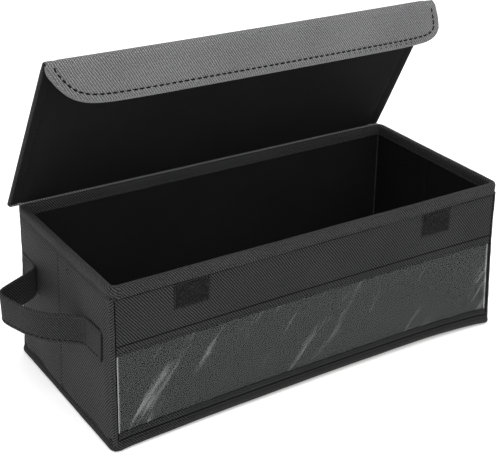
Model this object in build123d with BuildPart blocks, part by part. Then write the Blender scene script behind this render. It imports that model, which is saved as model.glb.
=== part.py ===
from build123d import *
import math
import os

os.makedirs("parts", exist_ok=True)

# Soft-sided storage box with a flip-over lid, a front flap, a clear front
# window and a strap handle on each short side.
# Frame: +X along the length, the window faces -Y, +Z up.
# Origin: middle of the footprint, on the surface the box stands on.
# All lengths in millimetres, all angles in degrees.

# ---- driving dimensions: case ------------------------------------------------
LENGTH = 355.0          # outside of the covers, left to right
DEPTH = 160.0           # outside of the covers, front to rear
HEIGHT = 132.0          # floor to rim
COVER_T = 0.8           # outer fabric
BOARD_T = 2.0           # stiffener board sewn between the fabrics
LINING_T = 0.6          # inner fabric
EDGE_T = 0.6            # folded hem and binding tape
HEM_H = 10.0            # rim hem height
BINDING_H = 7.0         # bottom binding height
SEAM_R = 1.1            # piped vertical corner seams
CREASE_Y = 5.0          # fold crease in the short sides
CREASE_GAP = 1.6        # gap between the two boards at that crease

# ---- driving dimensions: front window ----------------------------------------
BAND_Z0 = 84.0          # lower edge of the stiffened front band
FILM_T = 0.4
FILM_TOP_Z = 76.5       # visible edges of the film
FILM_BOTTOM_Z = 13.0

# ---- driving dimensions: closure patches --------------------------------------
PATCH_W = 30.0
PATCH_Z0 = 100.0
PATCH_Z1 = 121.7
PATCH_X = 113.0
PATCH_T = 0.8

# ---- driving dimensions: strap handles ----------------------------------------
STRAP_Z0 = 67.0
STRAP_Z1 = 91.0
STRAP_T = 2.0
TAB_T = 1.2
TAB_FRONT = (-65.0, -43.0)
TAB_REAR = (50.0, 72.0)
HANDLE_AXIS_X = 178.3   # swing axis, just outside the short side
HANDLE_AXIS_Z = 79.0
LOOP_PATH = [(191.8, 42.0), (218.0, 25.0), (203.0, -20.0), (191.8, -31.0)]

# ---- driving dimensions: loose base board --------------------------------------
INSERT_L = 345.0
INSERT_D = 150.0
INSERT_BOARD_T = 2.2
INSERT_COVER_T = 0.4
INSERT_Z0 = 1.1

# ---- driving dimensions: lid and flap ------------------------------------------
PANEL_T = 3.4           # cover + board + lining
HINGE_Y = 76.5          # lid hinge line, above the inner edge of the rear rim
HINGE_Z = 134.0
HINGE_R = 1.7
LID_OPEN = 60.4         # opening angle of the lid as it stands
LID_REACH = 163.34      # hinge line to where the lid and flap planes meet
LID_X0 = -185.5
LID_X1 = 168.5
LID_START = 2.4         # panel starts this far from the hinge line
FOLD_G = 6.6            # soft fold: from each panel's end to where the planes meet
FOLD_T = 1.6            # soft fold: cover and lining, without a board
FLAP_FOLD = 146.0       # turn from lid to flap as it hangs
FLAP_DROP = 40.0        # fold line to free edge
FLAP_CORNER_R = 26.0
EDGE_BIND_W = 1.5       # binding tape on the panel edges
FOLD_CLEAR = 0.35

# ---- derived --------------------------------------------------------------------
HL = LENGTH / 2
HD = DEPTH / 2
C1 = COVER_T                       # depth of each layer from the outer face
C2 = COVER_T + BOARD_T
C3 = COVER_T + BOARD_T + LINING_T
TOP_Z = HEIGHT - EDGE_T            # top of the wall layers, under the hem


# ==== base =======================================================================
with BuildPart() as base_cover:
    with BuildSketch(Plane.XY):
        Rectangle(2 * (HL - C1), 2 * (HD - C1))
    extrude(amount=COVER_T)

with BuildPart() as base_insert_board:
    with BuildSketch(Plane.XY.offset(INSERT_Z0)):
        RectangleRounded(INSERT_L, INSERT_D, 4.0)
    extrude(amount=INSERT_BOARD_T)

with BuildPart() as base_insert_cover:
    with BuildSketch(Plane.XY.offset(INSERT_Z0 + INSERT_BOARD_T)):
        RectangleRounded(INSERT_L, INSERT_D, 4.0)
    extrude(amount=INSERT_COVER_T)


# ==== rear wall ====================================================================
with BuildPart() as rear_cover:
    with BuildSketch(Plane.XY):
        with Locations((0, HD - C1 / 2)):
            Rectangle(LENGTH, C1)
    extrude(amount=TOP_Z)

with BuildPart() as rear_board:
    with BuildSketch(Plane.XY.offset(COVER_T)):
        with Locations((0, HD - (C1 + C2) / 2)):
            Rectangle(2 * (HL - C1), BOARD_T)
    extrude(amount=TOP_Z - COVER_T)

with BuildPart() as rear_lining:
    with BuildSketch(Plane.XY.offset(COVER_T)):
        with Locations((0, HD - (C2 + C3) / 2)):
            Rectangle(2 * (HL - C2), LINING_T)
    extrude(amount=TOP_Z - COVER_T)


# ==== front wall: stiffened band above, film window below ==========================
with BuildPart() as front_band_cover:
    with BuildSketch(Plane.XY.offset(BAND_Z0)):
        with Locations((0, -HD + C1 / 2)):
            Rectangle(LENGTH, C1)
    extrude(amount=TOP_Z - BAND_Z0)

with BuildPart() as front_band_board:
    with BuildSketch(Plane.XY.offset(BAND_Z0)):
        with Locations((0, -HD + (C1 + C2) / 2)):
            Rectangle(2 * (HL - C1), BOARD_T)
    extrude(amount=TOP_Z - BAND_Z0)

with BuildPart() as front_band_lining:
    with BuildSketch(Plane.XY.offset(BAND_Z0)):
        with Locations((0, -HD + (C2 + C3) / 2)):
            Rectangle(2 * (HL - C2), LINING_T)
    extrude(amount=TOP_Z - BAND_Z0)

FILM_Y0 = -HD + C1                 # outer face of the film
with BuildPart() as window_film:
    with BuildSketch(Plane.XY.offset(1.6)):
        with Locations((0, FILM_Y0 + FILM_T / 2)):
            Rectangle(2 * (HL - C1), FILM_T)
    extrude(amount=BAND_Z0 - 0.7 - 1.6)

# folded hem over the film's top edge: a channel, seen from the end
with BuildPart() as window_hem_top:
    with BuildSketch(Plane.YZ.offset(-HL)):
        with Locations((-HD, FILM_TOP_Z)):
            Rectangle(C1 + FILM_T + EDGE_T, BAND_Z0 - FILM_TOP_Z, align=(Align.MIN, Align.MIN))
        with Locations((FILM_Y0, FILM_TOP_Z)):
            Rectangle(FILM_T, BAND_Z0 - 0.6 - FILM_TOP_Z, align=(Align.MIN, Align.MIN), mode=Mode.SUBTRACT)
    extrude(amount=LENGTH)
    # the inner leg stops at the side boards
    with BuildSketch(Plane.XY.offset(FILM_TOP_Z)):
        with Locations((-HL, FILM_Y0), (HL, FILM_Y0)):
            Rectangle(2 * C3, 6.0, align=(Align.CENTER, Align.MIN))
    extrude(amount=BAND_Z0 - FILM_TOP_Z, mode=Mode.SUBTRACT)

# folded hem under the film's bottom edge
with BuildPart() as window_hem_bottom:
    with BuildSketch(Plane.YZ.offset(-HL)):
        with Locations((-HD, COVER_T)):
            Rectangle(C1 + FILM_T + EDGE_T, FILM_BOTTOM_Z - COVER_T, align=(Align.MIN, Align.MIN))
        with Locations((FILM_Y0, COVER_T + 0.6)):
            Rectangle(FILM_T, FILM_BOTTOM_Z - COVER_T - 0.6, align=(Align.MIN, Align.MIN), mode=Mode.SUBTRACT)
    extrude(amount=LENGTH)
    with BuildSketch(Plane.XY.offset(COVER_T)):
        with Locations((-HL, FILM_Y0), (HL, FILM_Y0)):
            Rectangle(2 * C3, 6.0, align=(Align.CENTER, Align.MIN))
    extrude(amount=FILM_BOTTOM_Z - COVER_T, mode=Mode.SUBTRACT)


# ==== short sides: cover, two boards meeting at the fold crease, lining =============
with BuildPart() as left_cover:
    with BuildSketch(Plane.XY):
        with Locations((-HL + C1 / 2, 0)):
            Rectangle(C1, 2 * (HD - C1))
    extrude(amount=TOP_Z)

with BuildPart() as left_board_front:
    with BuildSketch(Plane.XY.offset(COVER_T)):
        with Locations((-HL + C1, -HD + C2)):
            Rectangle(BOARD_T, CREASE_Y - CREASE_GAP / 2 + HD - C2, align=(Align.MIN, Align.MIN))
    extrude(amount=TOP_Z - COVER_T)

with BuildPart() as left_board_rear:
    with BuildSketch(Plane.XY.offset(COVER_T)):
        with Locations((-HL + C1, CREASE_Y + CREASE_GAP / 2)):
            Rectangle(BOARD_T, HD - C2 - CREASE_Y - CREASE_GAP / 2, align=(Align.MIN, Align.MIN))
    extrude(amount=TOP_Z - COVER_T)

with BuildPart() as left_lining:
    with BuildSketch(Plane.XY.offset(COVER_T)):
        with Locations((-HL + (C2 + C3) / 2, 0)):
            Rectangle(LINING_T, 2 * (HD - C3))
    extrude(amount=TOP_Z - COVER_T)

with BuildPart() as right_cover:
    mirror(left_cover.part, about=Plane.YZ)

with BuildPart() as right_board_front:
    mirror(left_board_front.part, about=Plane.YZ)

with BuildPart() as right_board_rear:
    mirror(left_board_rear.part, about=Plane.YZ)

with BuildPart() as right_lining:
    mirror(left_lining.part, about=Plane.YZ)


# ==== rim hem: fabric folded over the top edge, one length per side ==================
HEM_Z0 = HEIGHT - HEM_H
with BuildPart() as rim_hem_front:
    with BuildSketch(Plane.XY.offset(HEM_Z0)):
        with Locations((0, -HD - EDGE_T / 2)):
            Rectangle(LENGTH + 2 * EDGE_T, EDGE_T)
    extrude(amount=HEM_H)
    with BuildSketch(Plane.XY.offset(TOP_Z)):
        with Locations((0, -HD + (C3 + EDGE_T) / 2 - EDGE_T / 2)):
            Rectangle(LENGTH + 2 * EDGE_T, C3 + 2 * EDGE_T)
    extrude(amount=EDGE_T)
    with BuildSketch(Plane.XY.offset(HEM_Z0)):
        with Locations((0, -HD + C3 + EDGE_T / 2)):
            Rectangle(2 * (HL - C3 - EDGE_T), EDGE_T)
    extrude(amount=HEM_H)

with BuildPart() as rim_hem_rear:
    mirror(rim_hem_front.part, about=Plane.XZ)

with BuildPart() as rim_hem_left:
    with BuildSketch(Plane.XY.offset(HEM_Z0)):
        with Locations((-HL - EDGE_T / 2, 0)):
            Rectangle(EDGE_T, DEPTH)
    extrude(amount=HEM_H - EDGE_T)
    with BuildSketch(Plane.XY.offset(TOP_Z)):
        with Locations((-HL + C3 / 2, 0)):
            Rectangle(C3 + 2 * EDGE_T, 2 * (HD - C3 - EDGE_T))
    extrude(amount=EDGE_T)
    with BuildSketch(Plane.XY.offset(HEM_Z0)):
        with Locations((-HL + C3 + EDGE_T / 2, 0)):
            Rectangle(EDGE_T, 2 * (HD - C3 - EDGE_T))
    extrude(amount=HEM_H)

with BuildPart() as rim_hem_right:
    mirror(rim_hem_left.part, about=Plane.YZ)


# ==== bottom binding: tape round the foot of the walls, one length per side ===========
with BuildPart() as bottom_binding_front:
    with BuildSketch(Plane.XY):
        with Locations((0, -HD - EDGE_T / 2)):
            Rectangle(LENGTH + 2 * EDGE_T, EDGE_T)
    extrude(amount=BINDING_H)

with BuildPart() as bottom_binding_rear:
    mirror(bottom_binding_front.part, about=Plane.XZ)

with BuildPart() as bottom_binding_left:
    with BuildSketch(Plane.XY):
        with Locations((-HL - EDGE_T / 2, 0)):
            Rectangle(EDGE_T, DEPTH)
    extrude(amount=BINDING_H)

with BuildPart() as bottom_binding_right:
    mirror(bottom_binding_left.part, about=Plane.YZ)


# ==== piped corner seams, between the bottom binding and the rim hem ===================
with BuildPart() as corner_seam_front_left:
    with BuildSketch(Plane.XY.offset(BINDING_H)):
        with Locations((-HL, -HD)):
            Circle(SEAM_R)
        with Locations((-HL, -HD)):
            Rectangle(3 * SEAM_R, 3 * SEAM_R, align=(Align.MIN, Align.MIN), mode=Mode.SUBTRACT)
    extrude(amount=HEM_Z0 - BINDING_H)

with BuildPart() as corner_seam_front_right:
    mirror(corner_seam_front_left.part, about=Plane.YZ)

with BuildPart() as corner_seam_rear_left:
    mirror(corner_seam_front_left.part, about=Plane.XZ)

with BuildPart() as corner_seam_rear_right:
    mirror(corner_seam_front_right.part, about=Plane.XZ)


# ==== loop patches sewn to the front band ==============================================
with BuildPart() as loop_patch_left:
    with BuildSketch(Plane.XZ.offset(HD)):
        with Locations((-PATCH_X, (PATCH_Z0 + PATCH_Z1) / 2)):
            RectangleRounded(PATCH_W, PATCH_Z1 - PATCH_Z0, 1.0)
    extrude(amount=PATCH_T)

with BuildPart() as loop_patch_right:
    mirror(loop_patch_left.part, about=Plane.YZ)


# ==== strap handles: two sewn ends and a loop that swings ===============================
TAB_H = STRAP_Z1 - STRAP_Z0
with BuildPart() as handle_left_tab_front:
    with BuildSketch(Plane.YZ.offset(-HL)):
        with Locations(((TAB_FRONT[0] + TAB_FRONT[1]) / 2, (STRAP_Z0 + STRAP_Z1) / 2)):
            Rectangle(TAB_FRONT[1] - TAB_FRONT[0], TAB_H)
    extrude(amount=-TAB_T)
    fillet(handle_left_tab_front.edges().filter_by(Axis.X).group_by(Axis.Y)[0], 4.0)

with BuildPart() as handle_left_tab_rear:
    with BuildSketch(Plane.YZ.offset(-HL)):
        with Locations(((TAB_REAR[0] + TAB_REAR[1]) / 2, (STRAP_Z0 + STRAP_Z1) / 2)):
            Rectangle(TAB_REAR[1] - TAB_REAR[0], TAB_H)
    extrude(amount=-TAB_T)
    fillet(handle_left_tab_rear.edges().filter_by(Axis.X).group_by(Axis.Y)[-1], 4.0)

with BuildPart() as handle_left_strap:
    with BuildSketch(Plane.XY.offset(STRAP_Z0)):
        with BuildLine():
            FilletPolyline(*[(-x, y) for x, y in LOOP_PATH], radius=9.0)
        trace(line_width=STRAP_T)
    extrude(amount=TAB_H)

with BuildPart() as handle_right_tab_front:
    mirror(handle_left_tab_front.part, about=Plane.YZ)

with BuildPart() as handle_right_tab_rear:
    mirror(handle_left_tab_rear.part, about=Plane.YZ)

with BuildPart() as handle_right_strap:
    mirror(handle_left_strap.part, about=Plane.YZ)


# ==== lid: panel plane through the hinge line, local y away from the hinge ==============
a_lid = math.radians(LID_OPEN)
lid_dir = (0.0, -math.cos(a_lid), math.sin(a_lid))
lid_inner = (0.0, -math.sin(a_lid), -math.cos(a_lid))
lid_plane = Plane(origin=(0, HINGE_Y, HINGE_Z), x_dir=(1, 0, 0), z_dir=lid_inner)
LID_END = LID_REACH - FOLD_G
W_OUT = -PANEL_T / 2                    # outer face of the panel, along its inner normal
W_COVER = W_OUT + COVER_T
W_BOARD = W_COVER + BOARD_T
LID_W = LID_X1 - LID_X0
LID_XC = (LID_X0 + LID_X1) / 2

with BuildPart() as lid_hinge_roll:
    with BuildSketch(Plane.YZ.offset(LID_X0 + 2.0)):
        with Locations((HINGE_Y, HINGE_Z)):
            Circle(HINGE_R)
    extrude(amount=LID_W - 4.0)

with BuildPart() as lid_cover:
    with BuildSketch(lid_plane.offset(W_OUT)):
        with Locations((LID_XC, LID_START)):
            Rectangle(LID_W - 2 * EDGE_BIND_W, LID_END - LID_START, align=(Align.CENTER, Align.MIN))
    extrude(amount=COVER_T)

with BuildPart() as lid_board:
    with BuildSketch(lid_plane.offset(W_COVER)):
        with Locations((LID_XC, LID_START)):
            Rectangle(LID_W - 2 * EDGE_BIND_W, LID_END - LID_START, align=(Align.CENTER, Align.MIN))
    extrude(amount=BOARD_T)

with BuildPart() as lid_lining:
    with BuildSketch(lid_plane.offset(W_BOARD)):
        with Locations((LID_XC, LID_START)):
            Rectangle(LID_W - 2 * EDGE_BIND_W, LID_END - LID_START, align=(Align.CENTER, Align.MIN))
    extrude(amount=LINING_T)

with BuildPart() as lid_binding_left:
    with BuildSketch(lid_plane.offset(W_OUT)):
        with Locations((LID_X0, LID_START)):
            Rectangle(EDGE_BIND_W, LID_END - LID_START, align=(Align.MIN, Align.MIN))
    extrude(amount=PANEL_T)

with BuildPart() as lid_binding_right:
    with BuildSketch(lid_plane.offset(W_OUT)):
        with Locations((LID_X1, LID_START)):
            Rectangle(EDGE_BIND_W, LID_END - LID_START, align=(Align.MAX, Align.MIN))
    extrude(amount=PANEL_T)


# ==== flap: hangs from the fold line at the lid's free edge ==============================
fold_y = HINGE_Y + LID_REACH * lid_dir[1]
fold_z = HINGE_Z + LID_REACH * lid_dir[2]
a_flap = math.radians(LID_OPEN - FLAP_FOLD)
flap_dir = (0.0, -math.cos(a_flap), math.sin(a_flap))
flap_inner = (0.0, -math.sin(a_flap), -math.cos(a_flap))
flap_plane = Plane(origin=(0, fold_y, fold_z), x_dir=(1, 0, 0), z_dir=flap_inner)

# soft fold between lid and flap: an arc strip, seen from the end. The flap turns
# about the crest of this arc, so the fold stays clear of the front rim when shut.
fold_r = FOLD_G / math.tan(math.radians(FLAP_FOLD / 2))
fold_cy = HINGE_Y + LID_END * lid_dir[1] + fold_r * lid_inner[1]
fold_cz = HINGE_Z + LID_END * lid_dir[2] + fold_r * lid_inner[2]
start_deg = math.degrees(math.atan2(-lid_inner[2], -lid_inner[1]))
clear_deg = math.degrees(FOLD_CLEAR / fold_r)
arc_from = start_deg + clear_deg
arc_size = FLAP_FOLD - 2 * clear_deg
crest_y = fold_cy + fold_r * math.cos(math.radians(start_deg + FLAP_FOLD / 2))
crest_z = fold_cz + fold_r * math.sin(math.radians(start_deg + FLAP_FOLD / 2))


def arc_dir(deg):
    return (math.cos(math.radians(deg)), math.sin(math.radians(deg)))


with BuildPart() as flap_fold_strip:
    with BuildSketch(Plane.YZ.offset(LID_X0 + EDGE_BIND_W)):
        with BuildLine():
            r_in = fold_r - FOLD_T / 2
            r_out = fold_r + FOLD_T / 2
            s_in = (fold_cy + r_in * arc_dir(arc_from)[0], fold_cz + r_in * arc_dir(arc_from)[1])
            s_out = (fold_cy + r_out * arc_dir(arc_from)[0], fold_cz + r_out * arc_dir(arc_from)[1])
            e_in = (fold_cy + r_in * arc_dir(arc_from + arc_size)[0], fold_cz + r_in * arc_dir(arc_from + arc_size)[1])
            e_out = (fold_cy + r_out * arc_dir(arc_from + arc_size)[0], fold_cz + r_out * arc_dir(arc_from + arc_size)[1])
            m_in = (fold_cy + r_in * arc_dir(arc_from + arc_size / 2)[0], fold_cz + r_in * arc_dir(arc_from + arc_size / 2)[1])
            m_out = (fold_cy + r_out * arc_dir(arc_from + arc_size / 2)[0], fold_cz + r_out * arc_dir(arc_from + arc_size / 2)[1])
            Line(s_in, s_out)
            ThreePointArc(s_out, m_out, e_out)
            Line(e_out, e_in)
            ThreePointArc(e_in, m_in, s_in)
        make_face()
    extrude(amount=LID_W - 2 * EDGE_BIND_W)

FLAP_BODY_W = LID_W - 2 * EDGE_BIND_W
FLAP_BODY_END = FLAP_DROP - EDGE_BIND_W
FLAP_INNER_R = FLAP_CORNER_R - EDGE_BIND_W

# panel with rounded free corners: the three layers share one outline
with BuildPart() as flap_cover:
    with BuildSketch(flap_plane.offset(W_OUT)) as flap_cover_outline:
        with Locations((LID_XC, FOLD_G)):
            Rectangle(FLAP_BODY_W, FLAP_BODY_END - FOLD_G, align=(Align.CENTER, Align.MIN))
        fillet(flap_cover_outline.vertices().group_by(Axis.Y)[-1], FLAP_INNER_R)
    extrude(amount=COVER_T)

with BuildPart() as flap_board:
    with BuildSketch(flap_plane.offset(W_COVER)) as flap_board_outline:
        with Locations((LID_XC, FOLD_G)):
            Rectangle(FLAP_BODY_W, FLAP_BODY_END - FOLD_G, align=(Align.CENTER, Align.MIN))
        fillet(flap_board_outline.vertices().group_by(Axis.Y)[-1], FLAP_INNER_R)
    extrude(amount=BOARD_T)

with BuildPart() as flap_lining:
    with BuildSketch(flap_plane.offset(W_BOARD)) as flap_lining_outline:
        with Locations((LID_XC, FOLD_G)):
            Rectangle(FLAP_BODY_W, FLAP_BODY_END - FOLD_G, align=(Align.CENTER, Align.MIN))
        fillet(flap_lining_outline.vertices().group_by(Axis.Y)[-1], FLAP_INNER_R)
    extrude(amount=LINING_T)

# binding tape round the two ends and the free edge
with BuildPart() as flap_binding:
    with BuildSketch(flap_plane.offset(W_OUT)) as flap_binding_outline:
        with Locations((LID_XC, FOLD_G)):
            Rectangle(LID_W, FLAP_DROP - FOLD_G, align=(Align.CENTER, Align.MIN))
        fillet(flap_binding_outline.vertices().group_by(Axis.Y)[-1], FLAP_CORNER_R)
    extrude(amount=PANEL_T)
    with BuildSketch(flap_plane.offset(W_OUT)) as flap_binding_inside:
        with Locations((LID_XC, FOLD_G)):
            Rectangle(FLAP_BODY_W, FLAP_BODY_END - FOLD_G, align=(Align.CENTER, Align.MIN))
        fillet(flap_binding_inside.vertices().group_by(Axis.Y)[-1], FLAP_INNER_R)
    extrude(amount=PANEL_T, mode=Mode.SUBTRACT)

# hook patches on the inside of the flap: they meet the loop patches when it is shut
fold_half = math.radians((180 - FLAP_FOLD) / 2)
fold_d = math.hypot(FOLD_G, fold_r) - fold_r
shut_z = HINGE_Z + fold_d * (math.cos(fold_half) - math.sin(fold_half))
HOOK_Y0 = shut_z - PATCH_Z1
HOOK_Y1 = shut_z - PATCH_Z0
with BuildPart() as hook_patch_left:
    with BuildSketch(flap_plane.offset(PANEL_T / 2)):
        with Locations((-PATCH_X, (HOOK_Y0 + HOOK_Y1) / 2)):
            RectangleRounded(PATCH_W, HOOK_Y1 - HOOK_Y0, 1.0)
    extrude(amount=PATCH_T)

with BuildPart() as hook_patch_right:
    mirror(hook_patch_left.part, about=Plane.YZ)


# ==== write each piece ====================================================================
PIECES = {
    "base_cover": base_cover,
    "base_insert_board": base_insert_board,
    "base_insert_cover": base_insert_cover,
    "rear_cover": rear_cover,
    "rear_board": rear_board,
    "rear_lining": rear_lining,
    "front_band_cover": front_band_cover,
    "front_band_board": front_band_board,
    "front_band_lining": front_band_lining,
    "window_film": window_film,
    "window_hem_top": window_hem_top,
    "window_hem_bottom": window_hem_bottom,
    "left_cover": left_cover,
    "left_board_front": left_board_front,
    "left_board_rear": left_board_rear,
    "left_lining": left_lining,
    "right_cover": right_cover,
    "right_board_front": right_board_front,
    "right_board_rear": right_board_rear,
    "right_lining": right_lining,
    "rim_hem_front": rim_hem_front,
    "rim_hem_rear": rim_hem_rear,
    "rim_hem_left": rim_hem_left,
    "rim_hem_right": rim_hem_right,
    "bottom_binding_front": bottom_binding_front,
    "bottom_binding_rear": bottom_binding_rear,
    "bottom_binding_left": bottom_binding_left,
    "bottom_binding_right": bottom_binding_right,
    "corner_seam_front_left": corner_seam_front_left,
    "corner_seam_front_right": corner_seam_front_right,
    "corner_seam_rear_left": corner_seam_rear_left,
    "corner_seam_rear_right": corner_seam_rear_right,
    "loop_patch_left": loop_patch_left,
    "loop_patch_right": loop_patch_right,
    "handle_left_tab_front": handle_left_tab_front,
    "handle_left_tab_rear": handle_left_tab_rear,
    "handle_left_strap": handle_left_strap,
    "handle_right_tab_front": handle_right_tab_front,
    "handle_right_tab_rear": handle_right_tab_rear,
    "handle_right_strap": handle_right_strap,
    "lid_hinge_roll": lid_hinge_roll,
    "lid_cover": lid_cover,
    "lid_board": lid_board,
    "lid_lining": lid_lining,
    "lid_binding_left": lid_binding_left,
    "lid_binding_right": lid_binding_right,
    "flap_fold_strip": flap_fold_strip,
    "flap_cover": flap_cover,
    "flap_board": flap_board,
    "flap_lining": flap_lining,
    "flap_binding": flap_binding,
    "hook_patch_left": hook_patch_left,
    "hook_patch_right": hook_patch_right,
}

for name, piece in PIECES.items():
    piece.part.label = name
    export_step(piece.part, f"parts/{name}.step")

print("fold crest at y", round(crest_y, 3), "z", round(crest_z, 3))
print("pieces", len(PIECES))
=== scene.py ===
import math
import bpy
import numpy as np
from mathutils import Matrix, Vector


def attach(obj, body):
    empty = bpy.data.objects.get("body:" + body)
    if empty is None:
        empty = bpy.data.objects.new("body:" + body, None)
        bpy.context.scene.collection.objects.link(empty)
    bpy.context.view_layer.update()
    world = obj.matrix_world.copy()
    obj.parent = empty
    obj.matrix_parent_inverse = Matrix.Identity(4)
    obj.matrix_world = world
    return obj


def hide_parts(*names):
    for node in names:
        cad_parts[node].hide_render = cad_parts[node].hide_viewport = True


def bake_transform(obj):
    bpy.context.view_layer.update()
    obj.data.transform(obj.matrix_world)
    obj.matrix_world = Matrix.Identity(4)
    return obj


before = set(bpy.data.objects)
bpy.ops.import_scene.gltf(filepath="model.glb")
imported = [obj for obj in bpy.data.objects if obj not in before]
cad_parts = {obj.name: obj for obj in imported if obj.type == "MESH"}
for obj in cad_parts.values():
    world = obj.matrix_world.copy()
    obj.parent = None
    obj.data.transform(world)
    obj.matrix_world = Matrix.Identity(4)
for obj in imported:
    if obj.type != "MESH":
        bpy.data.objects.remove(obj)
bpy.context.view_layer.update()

# Soft-sided storage box: the finish of every visible piece.
# Sizes below are in millimetres in the shared frame; meshes are written in metres.
MM = 0.001
HL, HD, H = 177.5, 80.0, 132.0
HINGE_Y, HINGE_Z, HINGE_R = 76.5, 134.0, 1.7
LID_OPEN, LID_REACH, FOLD_G = 60.4, 163.34, 6.6
FLAP_FOLD, FLAP_DROP, FLAP_R = 146.0, 40.0, 26.0
LID_X0, LID_X1 = -185.5, 168.5
PANEL = 3.4
RNG = np.random.default_rng(7)


# ============================================================ camera
CAM = dict(f=1236.32, az=-33.922, el=22.79, roll=1.4, dist=1044.2, tx=13.5, ty=145.69, cx=278.35, cy=162.59)


def make_camera():
    a, e, ro = (math.radians(CAM[k]) for k in ("az", "el", "roll"))
    back = Vector((math.sin(a) * math.cos(e), -math.cos(a) * math.cos(e), math.sin(e)))
    right = Vector((0, 0, 1)).cross(back).normalized()
    up = back.cross(right)
    r = right * math.cos(ro) + up * math.sin(ro)
    u = up * math.cos(ro) - right * math.sin(ro)
    c = (back * CAM["dist"] + r * CAM["tx"] + u * CAM["ty"]) * MM
    data = bpy.data.cameras.new("camera")
    data.sensor_width = 36.0
    data.sensor_fit = "HORIZONTAL"
    data.lens = CAM["f"] / 500.0 * 36.0
    data.shift_x = (250.0 - CAM["cx"]) / 500.0
    data.shift_y = (CAM["cy"] - 228.0) / 500.0
    data.clip_start, data.clip_end = 0.05, 50.0
    cam = bpy.data.objects.new("camera", data)
    bpy.context.scene.collection.objects.link(cam)
    cam.matrix_world = Matrix((
        (r.x, u.x, back.x, c.x), (r.y, u.y, back.y, c.y), (r.z, u.z, back.z, c.z), (0, 0, 0, 1)))
    bpy.context.scene.camera = cam


make_camera()


# ============================================================ materials
def nodes_of(name):
    m = bpy.data.materials.new(name)
    m.use_nodes = True
    nt = m.node_tree
    nt.nodes.clear()
    out = nt.nodes.new("ShaderNodeOutputMaterial")
    sh = nt.nodes.new("ShaderNodeBsdfPrincipled")
    nt.links.new(sh.outputs[0], out.inputs[0])
    return m, nt, sh


def math_node(nt, op, a, b=None, c=None, clamp=False):
    n = nt.nodes.new("ShaderNodeMath")
    n.operation = op
    n.use_clamp = clamp
    for i, v in enumerate((a, b, c)):
        if v is None:
            continue
        if isinstance(v, (int, float)):
            n.inputs[i].default_value = v
        else:
            nt.links.new(v, n.inputs[i])
    return n.outputs[0]


def ramp(nt, fac, stops):
    n = nt.nodes.new("ShaderNodeValToRGB")
    el = n.color_ramp.elements
    el[0].position, el[0].color = stops[0][0], (*stops[0][1], 1)
    el[1].position, el[1].color = stops[-1][0], (*stops[-1][1], 1)
    for p, c in stops[1:-1]:
        e = el.new(p)
        e.color = (*c, 1)
    nt.links.new(fac, n.inputs[0])
    return n.outputs[0]


def grey(v, tint=(1.0, 1.0, 1.0)):
    return tuple(v * t for t in tint)


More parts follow.
